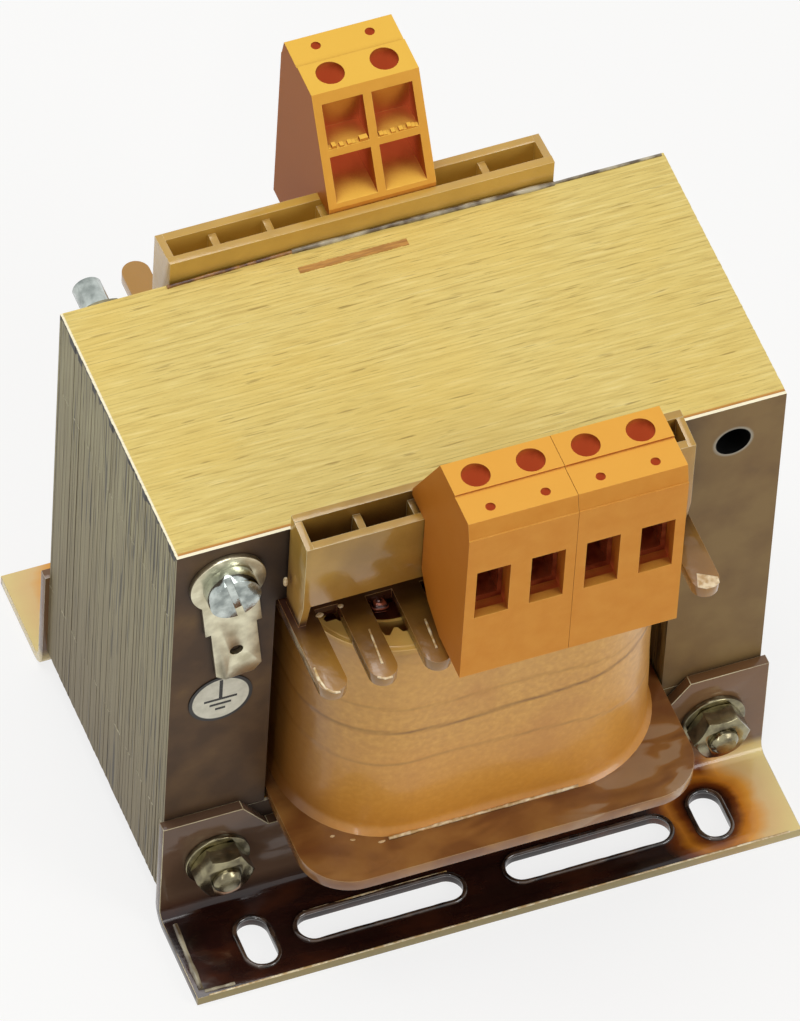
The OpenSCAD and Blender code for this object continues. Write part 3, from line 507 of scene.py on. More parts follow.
def enamelled_copper():
    """Copper wire under clear enamel: pink-brown, with a bright glint on each turn."""
    material, tree, place = start("copper_wire_enamelled")
    turns = add(tree, "ShaderNodeTexWave", {"Vector": place, "Scale": math.tau / 20 / 0.55,
                                            "Distortion": 0.6}, bands_direction="Z")
    colour = add(tree, "ShaderNodeValToRGB", {"Fac": turns}, stops=((0.1, "#5A2A1C"),
                                                                    (0.8, "#B05A3A")))
    return finish(material, tree, {"Base Color": colour, "Metallic": 0.4, "Roughness": 0.22,
                                   "Coat Weight": 0.8, "Coat Roughness": 0.06}, turns, 0.15)


def set_varnish(name, thin, thick, size=1.4, alpha=1.0):
    """Clear varnish, set in a run, a bead or a drop: wet-looking, paler where it is thin."""
    material, tree, place = start(name)
    cloud = add(tree, "ShaderNodeTexNoise", {"Vector": place, "Scale": 1 / size, "Detail": 2.0})
    colour = add(tree, "ShaderNodeValToRGB", {"Fac": cloud}, stops=((0.38, thick), (0.62, thin)))
    return finish(material, tree, {"Base Color": colour, "Roughness": 0.10, "IOR": 1.5,
                                   "Alpha": alpha, "Coat Weight": 0.6, "Coat Roughness": 0.02},
                  cloud, 0.08)


def pressboard():
    """Pressboard, cut in strips and soaked in varnish: ochre, with darker fibres along it."""
    material, tree, place = start("pressboard_cut_and_soaked")
    fibres = add(tree, "ShaderNodeMapping", {"Vector": place, "Scale": (1 / 3, 1 / 0.3, 1)})
    fibres = add(tree, "ShaderNodeTexNoise", {"Vector": fibres, "Scale": 1.0, "Detail": 3.0})
    colour = add(tree, "ShaderNodeValToRGB", {"Fac": fibres}, stops=((0.35, "#9C6A28"),
                                                                     (0.65, "#C08A3C")))
    return finish(material, tree, {"Base Color": colour, "Roughness": 0.5}, fibres, 0.05)


def printed_film():
    """Self-adhesive film, printed with an earth sign in a ring: black on off-white, satin."""
    material, tree, place = start("adhesive_film_printed")
    centre = (LABEL_LOW + LABEL_HIGH) / 2
    radius = (LABEL_HIGH.x - LABEL_LOW.x) / 2
    spot = add(tree, "ShaderNodeVectorMath", {0: place, 1: centre}, operation="SUBTRACT")
    spot = add(tree, "ShaderNodeVectorMath", {0: spot, 1: (1 / radius, 0, 1 / radius)},
               operation="MULTIPLY")
    axes = add(tree, "ShaderNodeSeparateXYZ", {"Vector": spot}).outputs
    across = add(tree, "ShaderNodeMath", {0: axes["X"]}, operation="ABSOLUTE")
    away = add(tree, "ShaderNodeVectorMath", {0: spot}, operation="LENGTH")
    ink = add(tree, "ShaderNodeMapRange", {"Value": away, "From Min": 0.88, "From Max": 0.90})
    # the stem, then three bars: level of the middle, half length, half thickness
    for level, half, thick in ((0.42, 0.055, 0.44), (-0.02, 0.52, 0.05), (-0.24, 0.34, 0.05),
                               (-0.46, 0.16, 0.05)):
        off = add(tree, "ShaderNodeMath", {0: axes["Z"], 1: level}, operation="SUBTRACT")
        off = add(tree, "ShaderNodeMath", {0: off}, operation="ABSOLUTE")
        tall = add(tree, "ShaderNodeMath", {0: off, 1: thick}, operation="LESS_THAN")
        wide = add(tree, "ShaderNodeMath", {0: across, 1: half}, operation="LESS_THAN")
        bar = add(tree, "ShaderNodeMath", {0: tall, 1: wide}, operation="MULTIPLY")
        ink = add(tree, "ShaderNodeMath", {0: ink, 1: bar}, operation="MAXIMUM")
    dust = add(tree, "ShaderNodeTexNoise", {"Vector": place, "Scale": 1 / 1.2, "Detail": 3.0})
    film = add(tree, "ShaderNodeValToRGB", {"Fac": dust}, stops=((0.35, "#C9C6B4"),
                                                                 (0.65, "#DAD7C6")))
    colour = add(tree, "ShaderNodeMix", {"Factor": ink, "A": film, "B": "#1D1B18"},
                 data_type="RGBA")
    return finish(material, tree, {"Base Color": colour, "Roughness": 0.35})


STEEL = silicon_steel()
NYLON = glass_filled_nylon("glass_filled_nylon_dipped")
NYLON_PAINTED_EDGE_HIGHLIGHT = glass_filled_nylon("glass_filled_nylon_painted_edge_highlight", edge=True)
TAPE = polyester_tape()
POLYAMIDE = orange_polyamide("orange_polyamide_moulded")
POLYAMIDE_PAINTED_EDGE_HIGHLIGHT = orange_polyamide("orange_polyamide_painted_edge_highlight", edge=True)
STOVED = stoved_varnish("mild_steel_stoved_varnish")
STOVED_PAINTED_EDGE_HIGHLIGHT = stoved_varnish("mild_steel_stoved_painted_edge_highlight", edge=True)
TIN = plated("brass_tin_plated", "#E2DCBE", "#BAB294", 0.30)
ZINC = plated("steel_zinc_plated_bright", "#CAD2CC", "#848C88", 0.14)
PASSIVATED = plated("steel_zinc_yellow_passivated", "#9C9474", "#5C5440", 0.24, 2.0, 9.0)
# clamps: varnished steel, red-brown with a painted reflection of the orange housing round them
BROWNED_WITH_PAINTED_REFLECTION = set_varnish("clamp_steel_under_varnish_with_painted_reflection", "#A0502E", "#7A3620", 2.0)
COPPER = enamelled_copper()
AMBER_BEAD = set_varnish("varnish_bead_amber", "#9A6A30", "#4E2A18")
# pale beads and drops are painted highlights; the grey runs carry a painted reflection
PAINTED_HIGHLIGHT_VARNISH = set_varnish("varnish_painted_highlight", "#F8E8C0", "#C8A468", 1.0)
PAINTED_REFLECTION_VARNISH = set_varnish("varnish_run_painted_reflection", "#B8AE92", "#5A4A34", 3.0)
DARK_BEAD = set_varnish("varnish_bead_dark", "#5A4434", "#1C1210", 2.5)
PRESSBOARD = pressboard()
FILM = printed_film()


# ---------------------------------------------------------------- making pieces

def finished(name, mesh, slot, *nodes, material=None, smooth=35):
    """A piece from a mesh in metres: riding, replacing the named nodes, and shaded."""
    for polygon in mesh.polygons:
        polygon.use_smooth = True
    mesh.set_sharp_from_angle(angle=math.radians(smooth))
    piece = bpy.data.objects.new(name, mesh)
    bpy.context.scene.collection.objects.link(piece)
    if material:
        mesh.materials.clear()
        mesh.materials.append(material)
    if nodes:
        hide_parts(*nodes)
    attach(piece, "root")
    return piece


def settled(piece):
    """The evaluated mesh of an object that isn't kept."""
    graph = bpy.context.evaluated_depsgraph_get()
    mesh = bpy.data.meshes.new_from_object(piece.evaluated_get(graph), depsgraph=graph)
    bpy.data.objects.remove(piece)
    return mesh


def to_mesh(name, form):
    """A mesh from a form, its faces turned outwards."""
    bmesh.ops.recalc_face_normals(form, faces=form.faces)
    mesh = bpy.data.meshes.new(name)
    form.to_mesh(mesh)
    form.free()
    return mesh


def joined_copy(node):
    """A node's mesh with its loose triangles joined and its flats merged."""
    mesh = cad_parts[node].data.copy()
    form = bmesh.new()
    form.from_mesh(mesh)
    bmesh.ops.remove_doubles(form, verts=form.verts, dist=2e-6)
    bmesh.ops.dissolve_limit(form, angle_limit=math.radians(0.8), verts=form.verts,
                             edges=form.edges)
    form.to_mesh(mesh)
    form.free()
    return mesh


def rounded(node, name, radius, slot, material, edges=None, segments=2, smooth=35):
    """A node with its edges rounded, as moulding, folding or plating leaves them."""
    mesh = joined_copy(node)
    mesh.materials.clear()
    mesh.materials.append(material)
    mesh.materials.append(edges or material)
    helper = bpy.data.objects.new(name + "_helper", mesh)
    bpy.context.scene.collection.objects.link(helper)
    bevel = helper.modifiers.new("edges", "BEVEL")
    bevel.width = radius * MM
    bevel.segments = segments
    bevel.limit_method = "ANGLE"
    bevel.angle_limit = math.radians(32)
    bevel.material = 1
    return finished(name, settled(helper), slot, node, smooth=smooth)


def run_tree(tree, sockets, holder, values):
    """Gives a holder the tree and its inputs, and returns the plain mesh it makes."""
    modifier = holder.modifiers.new("made", "NODES")
    modifier.node_group = tree
    for name, value in values.items():
        modifier[sockets[name]] = value
    return settled(holder)


def new_tree(name, inputs):
    """A geometry tree with named inputs: the tree, the inputs' identifiers, their sockets."""
    tree = bpy.data.node_groups.new(name, "GeometryNodeTree")
    sockets = {label: tree.interface.new_socket(label, in_out="INPUT", socket_type=kind).identifier
               for label, kind in inputs}
    tree.interface.new_socket("Geometry", in_out="OUTPUT", socket_type="NodeSocketGeometry")
    return tree, sockets, add(tree, "NodeGroupInput").outputs


# ---------------------------------------------------------------- core: stacked sheets

def sheet_mesh(name, outline, holes):
    """One punched sheet, flat in X and Z, half its thickness each side of Y = 0."""
    curve = bpy.data.curves.new(name, "CURVE")
    curve.dimensions = "2D"
    curve.fill_mode = "BOTH"
    curve.extrude = SHEET * 0.49 * MM
    steps = 28
    loops = [outline]
    for x, z, radius in holes:
        loops.append([(x + radius * math.cos(math.tau * i / steps),
                       z + radius * math.sin(math.tau * i / steps)) for i in range(steps)])
    for loop in loops:
        spline = curve.splines.new("POLY")
        spline.points.add(len(loop) - 1)
        for point, (x, z) in zip(spline.points, loop):
            point.co = (x * MM, z * MM, 0, 1)
        spline.use_cyclic_u = True
    holder = bpy.data.objects.new(name, curve)
    bpy.context.scene.collection.objects.link(holder)
    mesh = settled(holder)
    mesh.transform(Matrix.Rotation(math.radians(90), 4, "X"))
    return mesh


def stack_tree():
    """One sheet, repeated in packs along Y, each sheet a little out of line."""
    tree, sockets, given = new_tree("stacked_sheets", (
        ("Sheet", "NodeSocketObject"), ("Packs", "NodeSocketInt"),
        ("Sheets in a Pack", "NodeSocketInt"), ("First Sheet", "NodeSocketFloat"),
        ("Sheet Pitch", "NodeSocketFloat"), ("Pack Pitch", "NodeSocketFloat"),
        ("Out of Line", "NodeSocketFloat"), ("Seed", "NodeSocketInt"),
        ("Material", "NodeSocketMaterial")))
    size = given["Sheets in a Pack"]
    count = add(tree, "ShaderNodeMath", {0: given["Packs"], 1: size}, operation="MULTIPLY")
    row = add(tree, "GeometryNodeMeshLine", {"Count": count, "Offset": (0, 0, 0)})
    index = add(tree, "GeometryNodeInputIndex")
    pack = add(tree, "ShaderNodeMath", {0: index, 1: size}, operation="DIVIDE")
    pack = add(tree, "ShaderNodeMath", {0: pack}, operation="FLOOR")
    within = add(tree, "ShaderNodeMath", {0: index, 1: size}, operation="MODULO")
    along = add(tree, "ShaderNodeMath", {0: pack, 1: given["Pack Pitch"], 2: given["First Sheet"]},
                operation="MULTIPLY_ADD")
    along = add(tree, "ShaderNodeMath", {0: within, 1: given["Sheet Pitch"], 2: along},
                operation="MULTIPLY_ADD")
    slip = add(tree, "FunctionNodeRandomValue",
               {"Min": (-1, 0, -1), "Max": (1, 0, 0), "Seed": given["Seed"]},
               data_type="FLOAT_VECTOR")
    slip = add(tree, "ShaderNodeVectorMath", {0: slip, "Scale": given["Out of Line"]},
               operation="SCALE")
    spot = add(tree, "ShaderNodeCombineXYZ", {"Y": along})
    spot = add(tree, "ShaderNodeVectorMath", {0: slip, 1: spot}, operation="ADD")
    points = add(tree, "GeometryNodeSetPosition", {"Geometry": row, "Position": spot})
    sheet = add(tree, "GeometryNodeObjectInfo", {"Object": given["Sheet"]})
    stack = add(tree, "GeometryNodeInstanceOnPoints",
                {"Points": points, "Instance": sheet.outputs["Geometry"]})
    solid = add(tree, "GeometryNodeRealizeInstances", {"Geometry": stack})
    painted = add(tree, "GeometryNodeSetMaterial", {"Geometry": solid,
                                                    "Material": given["Material"]})
    add(tree, "NodeGroupOutput", {"Geometry": painted})
    return tree, sockets


def core_stacks():
    """E and I sheets in their four groups, each sheet shown on its own."""
    half, low, high = CORE_HIGH.x, CORE_LOW.z, CORE_HIGH.z
    gap = 0.04
    joint = low + LEG
    e_up = [(-half, joint + gap), (-half, high), (half, high), (half, joint + gap),
            (half - LEG, joint + gap), (half - LEG, high - LEG), (LEG, high - LEG),
            (LEG, joint + gap), (-LEG, joint + gap), (-LEG, high - LEG),
            (LEG - half, high - LEG), (LEG - half, joint + gap)]
    i_low = [(-half, low), (-half, joint - gap), (half, joint - gap), (half, low)]
    flip = low + high
    e_down = [(x, flip - z) for x, z in reversed(e_up)]
    i_high = [(x, flip - z) for x, z in reversed(i_low)]
    top = [(s * (half - HOLE_INSET), high - HOLE_INSET, HOLE_RADIUS) for s in (-1, 1)]
    bottom = [(s * (half - HOLE_INSET), low + HOLE_INSET, HOLE_RADIUS) for s in (-1, 1)]
    tree, sockets = stack_tree()
    for seed, (node, outline, holes, packs, first) in enumerate((
            ("e_sheets_upright", e_up, top, (PACKS + 1) // 2, 0),
            ("i_bars_lower", i_low, bottom, (PACKS + 1) // 2, 0),
            ("e_sheets_inverted", e_down, bottom, PACKS // 2, 1),
            ("i_bars_upper", i_high, top, PACKS // 2, 1))):
        sheet = bpy.data.objects.new(node + "_sheet", sheet_mesh(node + "_sheet", outline, holes))
        holder = bpy.data.objects.new(node + "_stack", bpy.data.meshes.new(node + "_stack"))
        for part in (sheet, holder):
            bpy.context.scene.collection.objects.link(part)
        stacked = run_tree(tree, sockets, holder, {
            "Sheet": sheet, "Packs": packs, "Sheets in a Pack": SHEETS_PER_PACK,
            "First Sheet": (CORE_LOW.y + first * PACK + SHEET / 2) * MM,
            "Sheet Pitch": SHEET * MM, "Pack Pitch": 2 * PACK * MM,
            "Out of Line": 0.03 * MM, "Seed": seed + 3, "Material": STEEL})
        bpy.data.objects.remove(sheet)
        finished(node + "_stacked", stacked, "core_varnish", node)


# ---------------------------------------------------------------- coil: wound tape

# edges of the tape's turns across the front: points of X and Z, then depth and darkness
LAPS = ((((-26, 41.0), (-17, 40.9), (-6, 40.3), (5, 40.7), (15, 42.1), (26, 43.0)), 0.10, 0.85),
        (((-26, 34.6), (-10, 34.3), (0.5, 34.2), (9.5, 33.6), (26, 31.5)), 0.06, 0.40),
        (((-26, 46.2), (-2.7, 44.8), (5, 45.3), (17, 44.2), (26, 43.8)), 0.06, 0.30))
LAP_WIDTH = 0.34
COIL_CORNER = 13.7


def lap_height(lap, x):
    """Height of a tape's edge at x, straight between its points."""
    for (x0, z0), (x1, z1) in zip(lap, lap[1:]):
        if x <= x1:
            return z0 + (z1 - z0) * (x - x0) / (x1 - x0)
    return lap[-1][1]


def coil_outline(inset=0.0, arc_steps=14, side_steps=24):
    """Points round the coil with their outward directions, anticlockwise from +X."""
    half_x, half_y, radius = (size - inset for size in (COIL_HIGH.x, COIL_HIGH.y, COIL_CORNER))
    signs = ((1, 1), (-1, 1), (-1, -1), (1, -1))
    points = []
    for quarter in range(4):
        centre, following = (Vector((sx * (half_x - radius), sy * (half_y - radius)))
                             for sx, sy in (signs[quarter], signs[(quarter + 1) % 4]))
        for i in range(arc_steps + 1):
            angle = math.radians(90 * (quarter + i / arc_steps))
            out = Vector((math.cos(angle), math.sin(angle)))
            points.append((centre + out * radius, out))
        for i in range(1, side_steps):
            points.append((centre.lerp(following, i / side_steps) + out * radius, out))
    return points


def skin(form, rings):
    """Faces between closed rings of vertices, from each ring to the next."""
    for first, second in zip(rings, rings[1:]):
        for i in range(len(first)):
            j = (i + 1) % len(first)
            form.faces.new((first[i], first[j], second[j], second[i]))


def wound_tape():
    """The coil's outer tape: its laps, a soft swell, and a fillet of varnish at its foot."""
    rows = 96
    low, high = COIL_LOW.z, COIL_HIGH.z
    foot_rise, foot_reach, crown = 1.5, 0.9, 1.2
    outline = coil_outline()
    form = bmesh.new()
    lap_layer = form.verts.layers.float.new("lap")
    rings = []
    for row in range(rows + 1):
        z = low + (high - low) * row / rows
        ring = []
        for place, out in outline:
            stand = 0.16 * math.sin(place.x * 0.31 + z * 0.11) * math.sin(z * 0.17 + place.x * 0.05)
            dark = 0.0
            for points, step, shade in LAPS:
                off = z - lap_height(points, place.x if place.y < 0 else -place.x)
                stand -= step * max(0.0, min(1.0, 0.5 + 2 * off))
                dark = max(dark, shade * (1 - abs(off) / LAP_WIDTH))
            stand += foot_reach * max(0.0, 1 - (z - low) / foot_rise) ** 2
            stand -= 0.5 * max(0.0, 1 - (high - z) / crown) ** 2
            spot = place + out * min(stand, foot_reach)
            vert = form.verts.new((spot.x * MM, spot.y * MM, z * MM))
            vert[lap_layer] = dark
            ring.append(vert)
        rings.append(ring)
    for z in (high, low):
        rings.append([form.verts.new(((place.x - out.x) * MM, (place.y - out.y) * MM, z * MM))
                      for place, out in outline])
    skin(form, rings + rings[:1])
    finished("wound_tape", to_mesh("wound_tape", form), "coil_tape", "outer_tape",
             material=TAPE, smooth=60)


def turned_in_tape():
    """Cut ends of the tape folded over the coil, torn in steps between the fingers."""
    random.seed(41)
    outline = coil_outline(0.2, 30, 60)
    form = bmesh.new()
    rings = [[], [], [], []]
    high = COIL_HIGH.z - 0.05
    width = 3.0
    for i, (place, out) in enumerate(outline):
        if i % 2 == 0:
            width = 2.5 + random.choice((-1.2, -0.5, 0.0, 0.6, 1.3))
        within = place - out * width
        for ring, spot, z in zip(rings, (place, within, within, place),
                                 (high, high, high - 0.2, high - 0.2)):
            ring.append(form.verts.new((spot.x * MM, spot.y * MM, z * MM)))
    skin(form, rings + rings[:1])
    finished("turned_in_tape", to_mesh("turned_in_tape", form), "coil_tape",
             material=TAPE, smooth=20)


# ---------------------------------------------------------------- varnish and small marks

def bead_tree():
    """A bead along a path, swelling and thinning in a fixed random way."""
    tree, sockets, given = new_tree("varnish_bead", (
        ("Path", "NodeSocketGeometry"), ("Radius", "NodeSocketFloat"),
        ("Swell", "NodeSocketFloat"), ("Step", "NodeSocketFloat"),
        ("Wave", "NodeSocketFloat"), ("Seed", "NodeSocketFloat"),
        ("Material", "NodeSocketMaterial")))
    path = add(tree, "GeometryNodeMeshToCurve", {"Mesh": given["Path"]})
    path = add(tree, "GeometryNodeResampleCurve", {"Curve": path, "Length": given["Step"]},
               mode="LENGTH")
    wave = add(tree, "ShaderNodeMath", {0: 1.0, 1: given["Wave"]}, operation="DIVIDE")
    noise = add(tree, "ShaderNodeTexNoise",
                {"Vector": add(tree, "GeometryNodeInputPosition"), "W": given["Seed"],
                 "Scale": wave, "Detail": 1.0}, noise_dimensions="4D")
    swell = add(tree, "ShaderNodeMath", {0: noise, 1: 0.5}, operation="SUBTRACT")
    swell = add(tree, "ShaderNodeMath", {0: swell, 1: given["Swell"], 2: 1.0},
                operation="MULTIPLY_ADD")
    ring = add(tree, "GeometryNodeCurvePrimitiveCircle",
               {"Resolution": 10, "Radius": given["Radius"]})
    tube = add(tree, "GeometryNodeCurveToMesh", {"Curve": path, "Profile Curve": ring,
                                                 "Scale": swell, "Fill Caps": True})
    solid = add(tree, "GeometryNodeRealizeInstances", {"Geometry": tube})
    painted = add(tree, "GeometryNodeSetMaterial", {"Geometry": solid,
                                                    "Material": given["Material"]})
    add(tree, "NodeGroupOutput", {"Geometry": painted})
    return tree, sockets


BEAD = bead_tree()


def bead(name, points, radius, material, slot, swell=1.2, wave=3.0, closed=False, seed=1.0):
    """A bead of varnish along points in millimetres."""
    links = [(i, i + 1) for i in range(len(points) - 1)]
    if closed:
        links.append((len(points) - 1, 0))
    mesh = bpy.data.meshes.new(name)
    mesh.from_pydata([Vector(point) * MM for point in points], links, [])
    holder = bpy.data.objects.new(name + "_path", mesh)
    bpy.context.scene.collection.objects.link(holder)
    made = run_tree(*BEAD, holder, {"Radius": radius * MM, "Swell": swell, "Step": 0.5 * MM,
                                    "Wave": wave * MM, "Seed": seed, "Material": material})
    finished(name, made, slot, smooth=80)


def drops(name, places, material, slot):
    """Drops that have set on the surface: each a centre and its radii."""
    form = bmesh.new()
    random.seed(name)
    for centre, radii in places:
        made = bmesh.ops.create_icosphere(form, subdivisions=3, radius=1.0)["verts"]
        a, b = random.uniform(0, 6), random.uniform(0, 6)
        for vert in made:
            swell = 1 + 0.12 * math.sin(3 * vert.co.x + a) * math.cos(2.5 * vert.co.y + b)
            vert.co = Vector([(centre[i] + vert.co[i] * radii[i] * swell) * MM for i in range(3)])
    finished(name, to_mesh(name, form), slot, material=material, smooth=80)


def film(name, outline, low, thickness, material, slot):
    """A thin film with this outline in X and Y, lying on the level given."""
    form = bmesh.new()
    rings = [[form.verts.new((x * MM, y * MM, z * MM)) for x, y in outline]
             for z in (low, low + thickness)]
    skin(form, rings)
    form.faces.new(rings[0])
    form.faces.new(rings[1])
    finished(name, to_mesh(name, form), slot, material=material, smooth=30)


def insulating_strip():
    """A strip of pressboard caught between two sheets at the top of the core."""
    random.seed(7)
    steps, left, length, middle = 60, -10.2, 15.1, 18.25
    top = CORE_HIGH.z + 0.08
    edges = [[], []]
    for i in range(steps + 1):
        wide = 0.52 + random.uniform(-0.06, 0.06)
        for edge, side in zip(edges, (-1, 1)):
            edge.append((left + length * i / steps, middle + side * wide))
    film("insulating_strip", edges[0] + edges[1][::-1], top - 0.3, 0.3, PRESSBOARD, "coil_tape")


def torn_shelf():
    """Torn edges left by the mould on the rear housing's shelf."""
    random.seed(5)
    low, high = corners("terminal_housing_3")
    middle, step = (low.x + high.x) / 2, 0.55
    shelf_y, shelf_z = 27.5, 85.2
    form = bmesh.new()
    for side in (-1, 1):
        for i in range(10):
            x = middle + side * (1.1 + i * step)
            tall = random.choice((0.1, 0.35, 0.6, 0.2))
            made = bmesh.ops.create_cube(form, size=1.0)["verts"]
            for vert in made:
                vert.co = Vector(((x + vert.co.x * step) * MM,
                                  (shelf_y + 0.35 + vert.co.y * 0.7) * MM,
                                  (shelf_z + (vert.co.z + 0.5) * tall) * MM))
    finished("torn_shelf_edge", to_mesh("torn_shelf_edge", form), "housing_plastic",
             material=POLYAMIDE, smooth=20)


def slot_outline(x, y, length, width, along_x, level):
    """Points round a slot: two straight sides and two round ends."""
    reach, radius = (length - width) / 2, width / 2
    points = []
    for i in range(24):
        angle = math.tau * (i + 0.5) / 24
        end = reach if math.cos(angle) > 0 else -reach
        u, v = end + radius * math.cos(angle), radius * math.sin(angle)
        points.append((x + (u if along_x else v), y + (v if along_x else u), level))
    return points


# ---------------------------------------------------------------- the object

core_stacks()
wound_tape()
turned_in_tape()
rounded("coil_former", "former_moulding", 0.28, "former_plastic", NYLON, NYLON_PAINTED_EDGE_HIGHLIGHT, 3)
for number in (1, 2, 3):
    rounded(f"terminal_housing_{number}", f"housing_moulding_{number}", 0.14, "housing_plastic",
            POLYAMIDE, POLYAMIDE_PAINTED_EDGE_HIGHLIGHT, smooth=14)
for side in ("front", "rear"):
    rounded(f"foot_bracket_{side}", f"varnished_bracket_{side}", 0.34, "bracket_varnish",
            STOVED, STOVED_PAINTED_EDGE_HIGHLIGHT, 3)
for kind, radius in (("core_bolt", 0.18), ("core_nut", 0.22), ("washer_front", 0.12),
                     ("washer_rear", 0.12)):
    for side in ("left", "right"):
        rounded(f"{kind}_{side}", f"plated_{kind}_{side}", radius, "passivated_zinc", PASSIVATED)
rounded("earth_nut", "plated_earth_nut", 0.22, "passivated_zinc", PASSIVATED)
rounded("earth_screw", "plated_earth_screw", 0.25, "zinc_plate", ZINC)
rounded("earth_tab", "tinned_earth_tab", 0.12, "tinned_metal", TIN)
insulating_strip()
torn_shelf()
drops("copper_end", (((-14.9, -24.9, 57.7), (1.3, 1.1, 1.1)),), COPPER, "winding_wire")

# thick rims round the brackets' slots
for side, name in ((-1, "front"), (1, "rear")):
    for end in (-1, 1):
        hand = "left" if end < 0 else "right"
        bead(f"slot_rim_{name}_{hand}",
             slot_outline(end * SLOT_X, side * SLOT_Y, 8.3, 4.8, False, FOOT_SHEET),
             0.34, DARK_BEAD, "bracket_varnish", 0.8, closed=True, seed=end + side * 3.0)
        bead(f"long_slot_rim_{name}_{hand}",
             slot_outline(end * 14.7, side * SLOT_Y, 23.7, 4.8, True, FOOT_SHEET),
             0.34, DARK_BEAD, "bracket_varnish", 0.8, closed=True, seed=end + side * 5.0)

# beads and drops along the foot's left end, the flange, the coil's foot and the fingers, coloured as
# painted highlights and painted reflections
bead("rim_run_left", [(-41.2, -25.2, 1.6), (-41.4, -28.6, 1.6), (-41.6, -33.0, 1.6),
                      (-41.7, -36.2, 1.6)], 0.36, PAINTED_REFLECTION_VARNISH, "bracket_varnish", 1.4)
bead("rim_run_front", [(-41.4, -36.6, 1.55), (-37.2, -36.7, 1.55)], 0.26, PAINTED_REFLECTION_VARNISH,
     "bracket_varnish", 2.0, 1.5)
bead("foot_edge_run", [(-41.0, FOOT_LOW.y + 0.1, 1.5), (41.0, FOOT_LOW.y + 0.1, 1.5)], 0.12,
     PAINTED_HIGHLIGHT_VARNISH, "bracket_varnish", 1.6, 5.0)
bead("slot_run_left", [(-24.6, -28.7, 1.65), (-4.4, -28.7, 1.65)], 0.16, PAINTED_HIGHLIGHT_VARNISH,
     "bracket_varnish", 2.0, 4.0)
bead("coil_foot_run", [(-15.5, -COIL_HIGH.y - 0.75, 20.4), (11.0, -COIL_HIGH.y - 0.75, 20.4)],
     0.20, PAINTED_HIGHLIGHT_VARNISH, "coil_tape", 1.8, 2.5)
bead("finger_run_1", [(-27.2, -33.4, 60.0), (-27.35, -35.3, 60.0), (-27.0, -37.0, 60.0),
                      (-26.2, -37.9, 59.9), (-25.4, -38.0, 59.9)], 0.17, PAINTED_HIGHLIGHT_VARNISH,
     "former_plastic", 1.6, 1.5)
bead("finger_run_2", [(-18.3, -29.8, 60.0), (-18.7, -35.6, 60.0)], 0.15, PAINTED_HIGHLIGHT_VARNISH,
     "former_plastic", 1.6, 2.0)
bead("finger_tip_2", [(-20.0, -37.3, 59.9), (-19.2, -37.9, 59.9), (-18.2, -37.9, 59.9)],
     0.15, PAINTED_HIGHLIGHT_VARNISH, "former_plastic", 1.6, 1.0)
bead("finger_run_3", [(-10.9, -30.6, 60.0), (-11.2, -35.5, 60.0)], 0.15, PAINTED_HIGHLIGHT_VARNISH,
     "former_plastic", 1.6, 2.0)
# pale drops on the flange: painted glints
drops("flange_drops", (((-22.3, -31.4, 20.05), (0.45, 0.3, 0.2)),
                       ((-20.0, -32.8, 20.05), (0.5, 0.3, 0.2)),
                       ((-16.5, -34.3, 20.05), (0.8, 0.3, 0.2))), PAINTED_HIGHLIGHT_VARNISH, "former_plastic")
# drops at the fingers' roots and the rail's end: painted glints on set varnish
drops("root_drops", (((-26.2, -25.9, 60.1), (0.4, 0.3, 0.25)),
                     ((-23.5, -25.6, 60.1), (0.5, 0.35, 0.25)),
                     ((-20.4, -25.1, 60.1), (0.4, 0.3, 0.25)),
                     ((-27.6, -23.4, 66.0), (0.3, 0.35, 0.9))), PAINTED_HIGHLIGHT_VARNISH, "former_plastic")
# a drop on the core's top: a painted glint
drops("core_drop", (((2.5, -21.1, CORE_HIGH.z + 0.1), (0.6, 0.4, 0.3)),), PAINTED_HIGHLIGHT_VARNISH,
      "core_varnish")
# the last finger's pale cut tip, with a painted highlight
film("cut_finger_tip", [(24.9, -35.1), (27.3, -36.5), (27.2, -37.4), (26.4, -37.85),
                        (25.2, -37.85), (24.2, -37.2)], FINGER_TOP - 0.02, 0.12,
     PAINTED_HIGHLIGHT_VARNISH, "former_plastic")

# the run along the rear rail's foot, and along the core's edge beyond it: amber at the left, grey
# with a painted reflection in the middle, and a painted highlight along the core's edge
top = CORE_HIGH.z + 0.05
bead("rail_run_left", [(-27.4, 21.2, top), (-10.0, 21.5, top)], 0.25, AMBER_BEAD,
     "core_varnish", 1.0)
bead("rail_run_middle", [(-10.0, 21.5, top), (3.5, 21.5, top), (26.5, 21.2, top)], 0.34,
     PAINTED_REFLECTION_VARNISH, "core_varnish", 1.0, 6.0)
bead("core_edge_run", [(26.5, 21.25, top), (41.6, 21.25, top)], 0.22, PAINTED_REFLECTION_VARNISH,
     "core_varnish", 0.6)

FINISHES = {"clamp_cage": BROWNED_WITH_PAINTED_REFLECTION, "clamp_screw": BROWNED_WITH_PAINTED_REFLECTION, "winding_lead": COPPER,
            "primary_winding": COPPER, "secondary_winding": COPPER,
            "interlayer_insulation": TAPE, "earth_label": FILM}
for name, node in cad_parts.items():
    for start_of_name, material in FINISHES.items():
        if name.startswith(start_of_name):
            node.data.materials.clear()
            node.data.materials.append(material)


# ---------------------------------------------------------------- floor, light and camera

def seen_directly(tree):
    """1 for rays that show the background: from the camera, mirrored or through glass."""
    path = add(tree, "ShaderNodeLightPath").outputs
    seen = add(tree, "ShaderNodeMath", {0: path["Is Camera Ray"], 1: path["Is Glossy Ray"]},
               operation="MAXIMUM")
    return add(tree, "ShaderNodeMath", {0: seen, 1: path["Is Transmission Ray"]},
               operation="MAXIMUM")


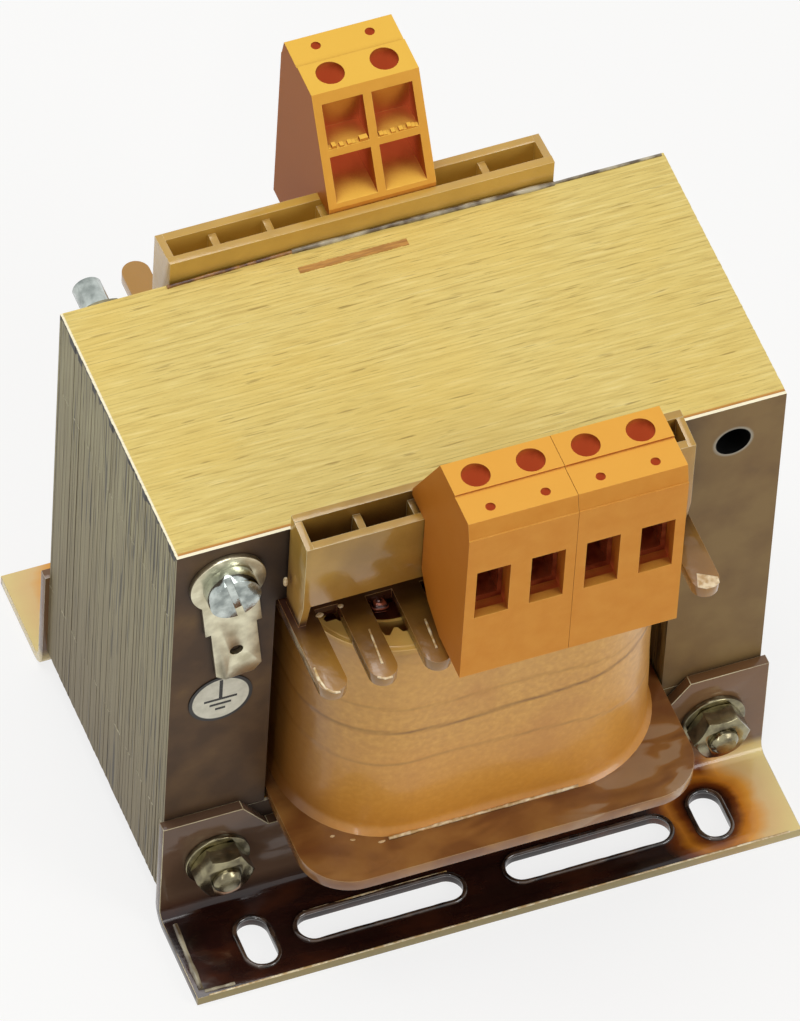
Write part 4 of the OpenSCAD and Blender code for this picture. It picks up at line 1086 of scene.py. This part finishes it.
def pale_floor(reach):
    """A wide floor that takes the object's shadow and is white where it is seen."""
    material, tree, place = start("studio_floor_painted_matt")
    lit = add(tree, "ShaderNodeBsdfDiffuse", {"Color": "#ECEAE4"})
    glow = add(tree, "ShaderNodeEmission", {"Color": "#FFFFFF", "Strength": 1.0})
    share = add(tree, "ShaderNodeMath", {0: seen_directly(tree), 1: 0.8}, operation="MULTIPLY")
    surface = add(tree, "ShaderNodeMixShader", {"Fac": share, 1: lit, 2: glow})
    add(tree, "ShaderNodeOutputMaterial", {"Surface": surface})
    mesh = bpy.data.meshes.new("floor")
    mesh.from_pydata([(x * reach, y * reach, 0) for x, y in ((-1, -1), (1, -1), (1, 1), (-1, 1))],
                     [], [(0, 1, 2, 3)])
    mesh.materials.append(material)
    floor = bpy.data.objects.new("floor", mesh)
    bpy.context.scene.collection.objects.link(floor)


def soft_world(strength):
    """Soft light from all round, white where the background is seen."""
    world = bpy.data.worlds.new("studio")
    bpy.context.scene.world = world
    world.use_nodes = True
    tree = world.node_tree
    tree.nodes.clear()
    soft = add(tree, "ShaderNodeBackground", {"Color": "#F2F2F2", "Strength": strength})
    white = add(tree, "ShaderNodeBackground", {"Color": "#FFFFFF", "Strength": 1.0})
    both = add(tree, "ShaderNodeMixShader", {"Fac": seen_directly(tree), 1: soft, 2: white})
    add(tree, "ShaderNodeOutputWorld", {"Surface": both})


def lamp(name, place, width, height, watts):
    """A softbox turned to the object; sizes and places in metres."""
    light = bpy.data.lights.new(name, "AREA")
    light.shape = "RECTANGLE"
    light.size, light.size_y = width, height
    light.energy = watts
    holder = bpy.data.objects.new(name, light)
    holder.location = place
    holder.rotation_mode = "QUATERNION"
    aim = Vector((0, 0, 0.05)) - Vector(place)
    holder.rotation_quaternion = aim.to_track_quat("-Z", "Y")
    bpy.context.scene.collection.objects.link(holder)


def studio_camera():
    """A long lens from the front left and above, its view rolled by a few degrees."""
    azimuth, elevation, roll = (math.radians(a) for a in (-24.13, 50.99, -3.91))
    distance, aside, below = 1905.2, 1.489, 1.743
    aim = Vector((0, 0, CORE_HIGH.z - 35))
    back = Vector((math.sin(azimuth) * math.cos(elevation),
                   -math.cos(azimuth) * math.cos(elevation), math.sin(elevation)))
    level = (-back).cross(Vector((0, 0, 1))).normalized()
    drop = (-back).cross(level)
    right = level * math.cos(roll) + drop * math.sin(roll)
    down = drop * math.cos(roll) - level * math.sin(roll)
    spot = (aim - right * aside - down * below + back * distance) * MM
    camera = bpy.data.cameras.new("camera")
    camera.sensor_width = 36
    camera.lens = 513.2
    camera.clip_start, camera.clip_end = 0.1, 100
    eye = bpy.data.objects.new("camera", camera)
    turn = Matrix((right, -down, back)).transposed()
    eye.matrix_world = Matrix.Translation(spot) @ turn.to_4x4()
    bpy.context.scene.collection.objects.link(eye)
    bpy.context.scene.camera = eye


pale_floor(30)
soft_world(0.30)
lamp("softbox_top", (-0.10, 0.15, 0.95), 0.6, 0.6, 5.2)
lamp("softbox_front", (0.65, -0.75, 0.55), 0.5, 0.5, 4.2)
lamp("strip_left", (-0.55, -0.75, 0.50), 0.04, 0.50, 0.9)
studio_camera()
bpy.context.scene.view_settings.view_transform = "Standard"
